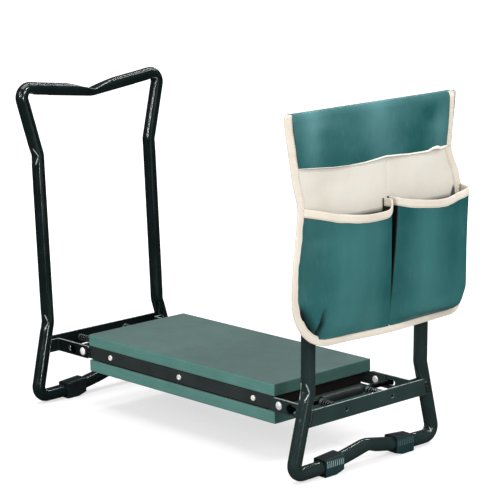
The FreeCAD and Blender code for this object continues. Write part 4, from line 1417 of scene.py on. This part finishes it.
def flap_cloth(front):
    """The flap, carried back over the ridge to meet the sleeve."""
    rows = FLAP_BACK_ROWS
    behind = np.arange(rows, 0, -1) / rows
    back = np.repeat(front[:, :1], rows, axis=1)
    back[..., 0] -= 9.5 * behind
    back[..., 2] = (RIDGE_Z + 0.55 - 0.5 * (behind - 0.35) ** 2
                    - 4.2 * np.clip(behind - 0.45, 0, 1) ** 1.4)
    grid = np.concatenate([back, front], 1)
    relax(grid.swapaxes(0, 1)[:rows + 9], times=6)
    piece = sheet("pouch_flap_cloth", grid, 0.9, FLAP_CLOTH)
    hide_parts("pouch_front_flap")
    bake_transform(piece)


def flap_hem(path):
    """Rolled hem along the flap's lower edge, thickest near y = 118."""
    down = np.tile([0.0, 0, -1.0], (len(path), 1))
    out = unit(np.cross(unit(np.gradient(path, axis=0)), down))
    y = path[:, 1]
    size = 0.62 + 0.55 * ease(y, over=(-60, 0)) + 1.0 * bell(y, centre=118, width=16)
    hem = sweep(path + down * 0.2, out, down, circle(10),
                scale=np.stack([size * 0.8, size * 1.1], 1))
    attach(make_solid("pouch_flap_hem", *hem, HEM), "pouch")


def flap_side_tape():
    """A narrow tape down the flap's right side, over the inner half of the edge tape."""
    clearance = 1.35
    z = np.linspace(RIDGE_Z - 0.5, 424.0, 90)
    y = y_right(z) - 4.6
    points = np.stack([z * 0, z, z * 0 + 9], -1)
    x = FACE_X + clearance + 0.25 * noise(points, size=20, seed=3)
    x = np.maximum(x, flap_x(y - 3.4, z) + clearance)
    x = x - 1.2 * ease(z, over=(RIDGE_Z - 8, RIDGE_Z))
    sew("pouch_flap_side_tapes", "pouch_flap_stitches",
        [tape(np.stack([x, y, z], 1), [-0.05, -1.0, 0.0], [1.0, 0.0, 0.0], width=7.4,
              thickness=1.5, seam_inset=5.6, seam_rise=0.78)])


def turned_edge():
    """A strip turned back beside the tape at the flap's right, narrowing downwards, in a darker
    copy of the tape's finish: painted shade.
    """
    z = np.linspace(RIDGE_Z - 2.0, 426.0, 60)[:, None]
    t = np.linspace(0, 1, 7)[None, :]
    widening = ease(z, over=(424, 494))
    y = y_right(z) - 1.2 + (6.0 * widening + 0.4) * t
    x = FACE_X + 0.6 - (1.0 + 3.2 * widening) * t ** 1.6
    piece = sheet("pouch_turned_edge", np.stack([x, y, z + 0 * t], -1), 0.8, SHADED_TAPE)
    attach(piece, "pouch")


flap = flap_grid()
flap_cloth(flap)
flap_hem(flap[:, -1])
flap_side_tape()
turned_edge()


# ---------------------------------------------------------------- pouch: sleeve
# (x, z) from the ridge, over the top bar and down behind it
SLEEVE_SECTION = [
    (RIDGE_X - 0.4, RIDGE_Z - 0.9), (RIDGE_X - 3.5, RIDGE_Z - 1.2), (308.5, 497.1),
    (303.5, 494.2), (297.5, 491.6), (292.4, 487.6), (290.3, 481.0), (289.6, 472.0),
    (289.0, 455.0), (288.6, 440.0), (288.3, 424.6)]


def sleeve():
    x, z = resample(spline(SLEEVE_SECTION, 300), 70).T
    # wide along its front fold, narrower behind the bar
    left = -np.interp(x, [293, 312.5], [129.5, 163.0])
    right = np.interp(x, [293, 312.5], [129.5, 158.5])
    y = left + (right - left) * (np.linspace(-1, 1, 120)[:, None] + 1) / 2
    grid = np.stack([x + 0 * y, y, z + 0 * y], -1)
    loose = ease(np.linspace(0, 1, len(x)), over=(0.45, 0.75))
    wave = ripples(grid, (0.9, 55, 40), (0.35, 20, 41)) * loose
    grid[..., 0] -= np.clip(wave + 0.4 * loose, 0, 3)
    piece = sheet("pouch_sleeve_cloth", grid, 0.9, FLAP_CLOTH)
    attach(piece, "right_leg", "pouch_hanging_sleeve")

    out = grid_normals(grid, facing=-1)
    tapes = [tape(grid[row] - [0, 1.2 * inward, 0], [0.0, inward, 0.0], out[row], width=11.0,
                  thickness=2.3, seam_inset=9.2, seam_rise=1.2)
             for row, inward in ((0, 1.0), (-1, -1.0))]
    tapes.append(tape(grid[:, -1] + [0, 0, -0.9], [0.0, 0.0, 1.0], [-1.0, 0.0, 0.0],
                      width=11.0, thickness=2.5, seam_inset=9.2, seam_rise=1.3))
    sew("pouch_sleeve_tapes", "pouch_sleeve_stitches", tapes, carrier="right_leg")


sleeve()


# ---------------------------------------------------------------- floor
def stage_floor():
    """Pale floor: takes soft shadows and glows white away from the seat."""
    mat = Material("stage_floor")
    speckle = mat.ramp(mat.noise(size=4.0, detail=2, rough=0.5), over=(0.4, 0.6), to=(0.0, 0.02))
    colour = mat.mix(speckle, (0.42, 0.42, 0.42, 1), (0.41, 0.41, 0.41, 1))
    rays = mat.new("ShaderNodeLightPath").outputs
    # glossy pieces mirror a dark room instead of the floor
    colour = mat.mix(mat.mul(rays["Is Glossy Ray"], 0.93), colour, (0.0, 0.0, 0.0, 1))
    x, y, z = mat.split()
    radius = mat.math("SQRT", mat.add(mat.mul(x, x), mat.mul(y, y)))
    glow = mat.ramp(radius, over=(0.45, 1.5), to=(0.60, 1.05))
    mat.set(Base_Color=colour, Roughness=0.9, Specular_IOR_Level=0.0,
            Emission_Color=(1.0, 1.0, 1.0, 1),
            Emission_Strength=mat.mul(rays["Is Camera Ray"], glow))
    half = 60000.0
    level = -0.15 - LIFT
    corners = [(-half, -half, level), (half, -half, level), (half, half, level),
               (-half, half, level)]
    make_mesh("stage_floor", corners, [[0, 1, 2, 3]], mat.data, smooth=False)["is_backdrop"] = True


stage_floor()


# ---------------------------------------------------------------- lights, in metres and watts
def lamp(name, place, aim, size, power, up=(0, 0, 1)):
    """A rectangular lamp at place, facing aim; size is its width and height."""
    data = bpy.data.lights.new(name, "AREA")
    data.shape = "RECTANGLE"
    data.size, data.size_y = size
    data.energy = power
    piece = bpy.data.objects.new(name, data)
    bpy.context.scene.collection.objects.link(piece)
    back = (Vector(place) - Vector(aim)).normalized()
    across = Vector(up).cross(back).normalized()
    turned = Matrix((across, back.cross(across), back)).transposed().to_4x4()
    turned.translation = Vector(place)
    piece.matrix_world = turned


lamp("top_softbox", place=(-0.3, -0.3, 2.6), aim=(0, 0, 0.1), size=(1.8, 1.8), power=34.0,
     up=(0, 1, 0))
lamp("front_softbox", place=(-0.4, -2.6, 1.9), aim=(0, 0, 0.2), size=(1.2, 1.0), power=14.0)
lamp("pouch_softbox", place=(2.6, -0.4, 1.6), aim=(0.3, 0, 0.3), size=(0.9, 0.9), power=27.0)
# long narrow lamps: crisp lines on the top bars and the rails
for name, place in (("line_lamp_a", (-0.75, 1.5, 2.2)), ("line_lamp_b", (0.35, 1.6, 2.4))):
    lamp(name, place, aim=(0, 0, 0.3), size=(0.07, 1.8), power=12.0, up=(0, 1, 0))
# small hard lamps: sparks on the welds and in the crushed bends
lamp("spark_lamp_a", place=(1.7, 0.2, 2.2), aim=(0.25, 0, 0.1), size=(0.22, 0.22), power=16.0)
for name, place, aim in (("bend_lamp_a", (0.25, -2.5, 1.05), (0.2, 0, 0.2)),
                         ("bend_lamp_b", (1.15, -2.4, 1.15), (0.2, 0, 0.2)),
                         ("bend_lamp_c", (2.4, -0.9, 0.35), (0.25, 0, 0.15))):
    lamp(name, place, aim, size=(0.05, 0.6), power=10.0)


# ---------------------------------------------------------------- world
WORLD_FILL = 0.60           # light on the seat
WORLD_GLOSS = 0.07          # brightness in reflections
WORLD_SEEN = 1.05           # brightness to the camera


def studio_world():
    world = bpy.data.worlds.new("studio")
    world.use_nodes = True
    tree = world.node_tree
    background = tree.nodes["Background"]
    background.inputs[0].default_value = (1.0, 1.0, 1.0, 1)
    rays = tree.nodes.new("ShaderNodeLightPath").outputs
    dimmed = math_node(tree, "MULTIPLY", rays["Is Glossy Ray"], WORLD_FILL - WORLD_GLOSS)
    fill = math_node(tree, "SUBTRACT", WORLD_FILL, dimmed)
    seen = math_node(tree, "MULTIPLY", rays["Is Camera Ray"], WORLD_SEEN - WORLD_FILL)
    put(tree, background.inputs[1], math_node(tree, "ADD", fill, seen))
    bpy.context.scene.world = world


studio_world()


# ---------------------------------------------------------------- camera and view
def add_camera():
    data = bpy.data.cameras.new("camera")
    data.sensor_fit = "AUTO"
    data.sensor_width = 36.0
    data.lens = 151.39
    data.clip_start = 0.05
    data.clip_end = 200.0
    camera = bpy.data.objects.new("camera", data)
    bpy.context.scene.collection.objects.link(camera)
    right = Vector((0.67020835, 0.74181934, -0.02290917))
    down = Vector((0.13581062, -0.15292982, -0.97886053))
    forward = Vector((-0.72964117, 0.65292920, -0.20324179))
    pose = Matrix((right, -down, -forward)).transposed().to_4x4()
    pose.translation = Vector((2.259995, -1.982304, 0.878586 + LIFT * MM))
    camera.matrix_world = pose
    bpy.context.scene.camera = camera


add_camera()
view = bpy.context.scene.view_settings
view.view_transform = "Standard"
view.look = "None"
view.exposure = 0.0
view.gamma = 1.0


def numbers(box):
    """Plain floats from a box given as corners or as single values."""
    plain = []
    for entry in box:
        try:
            plain.append([float(value) for value in entry])
        except TypeError:       # the entry is a single value, not a corner
            plain.append(float(entry))
    return plain


{"cad": numbers(CAD_BOX), "visual": numbers(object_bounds())}
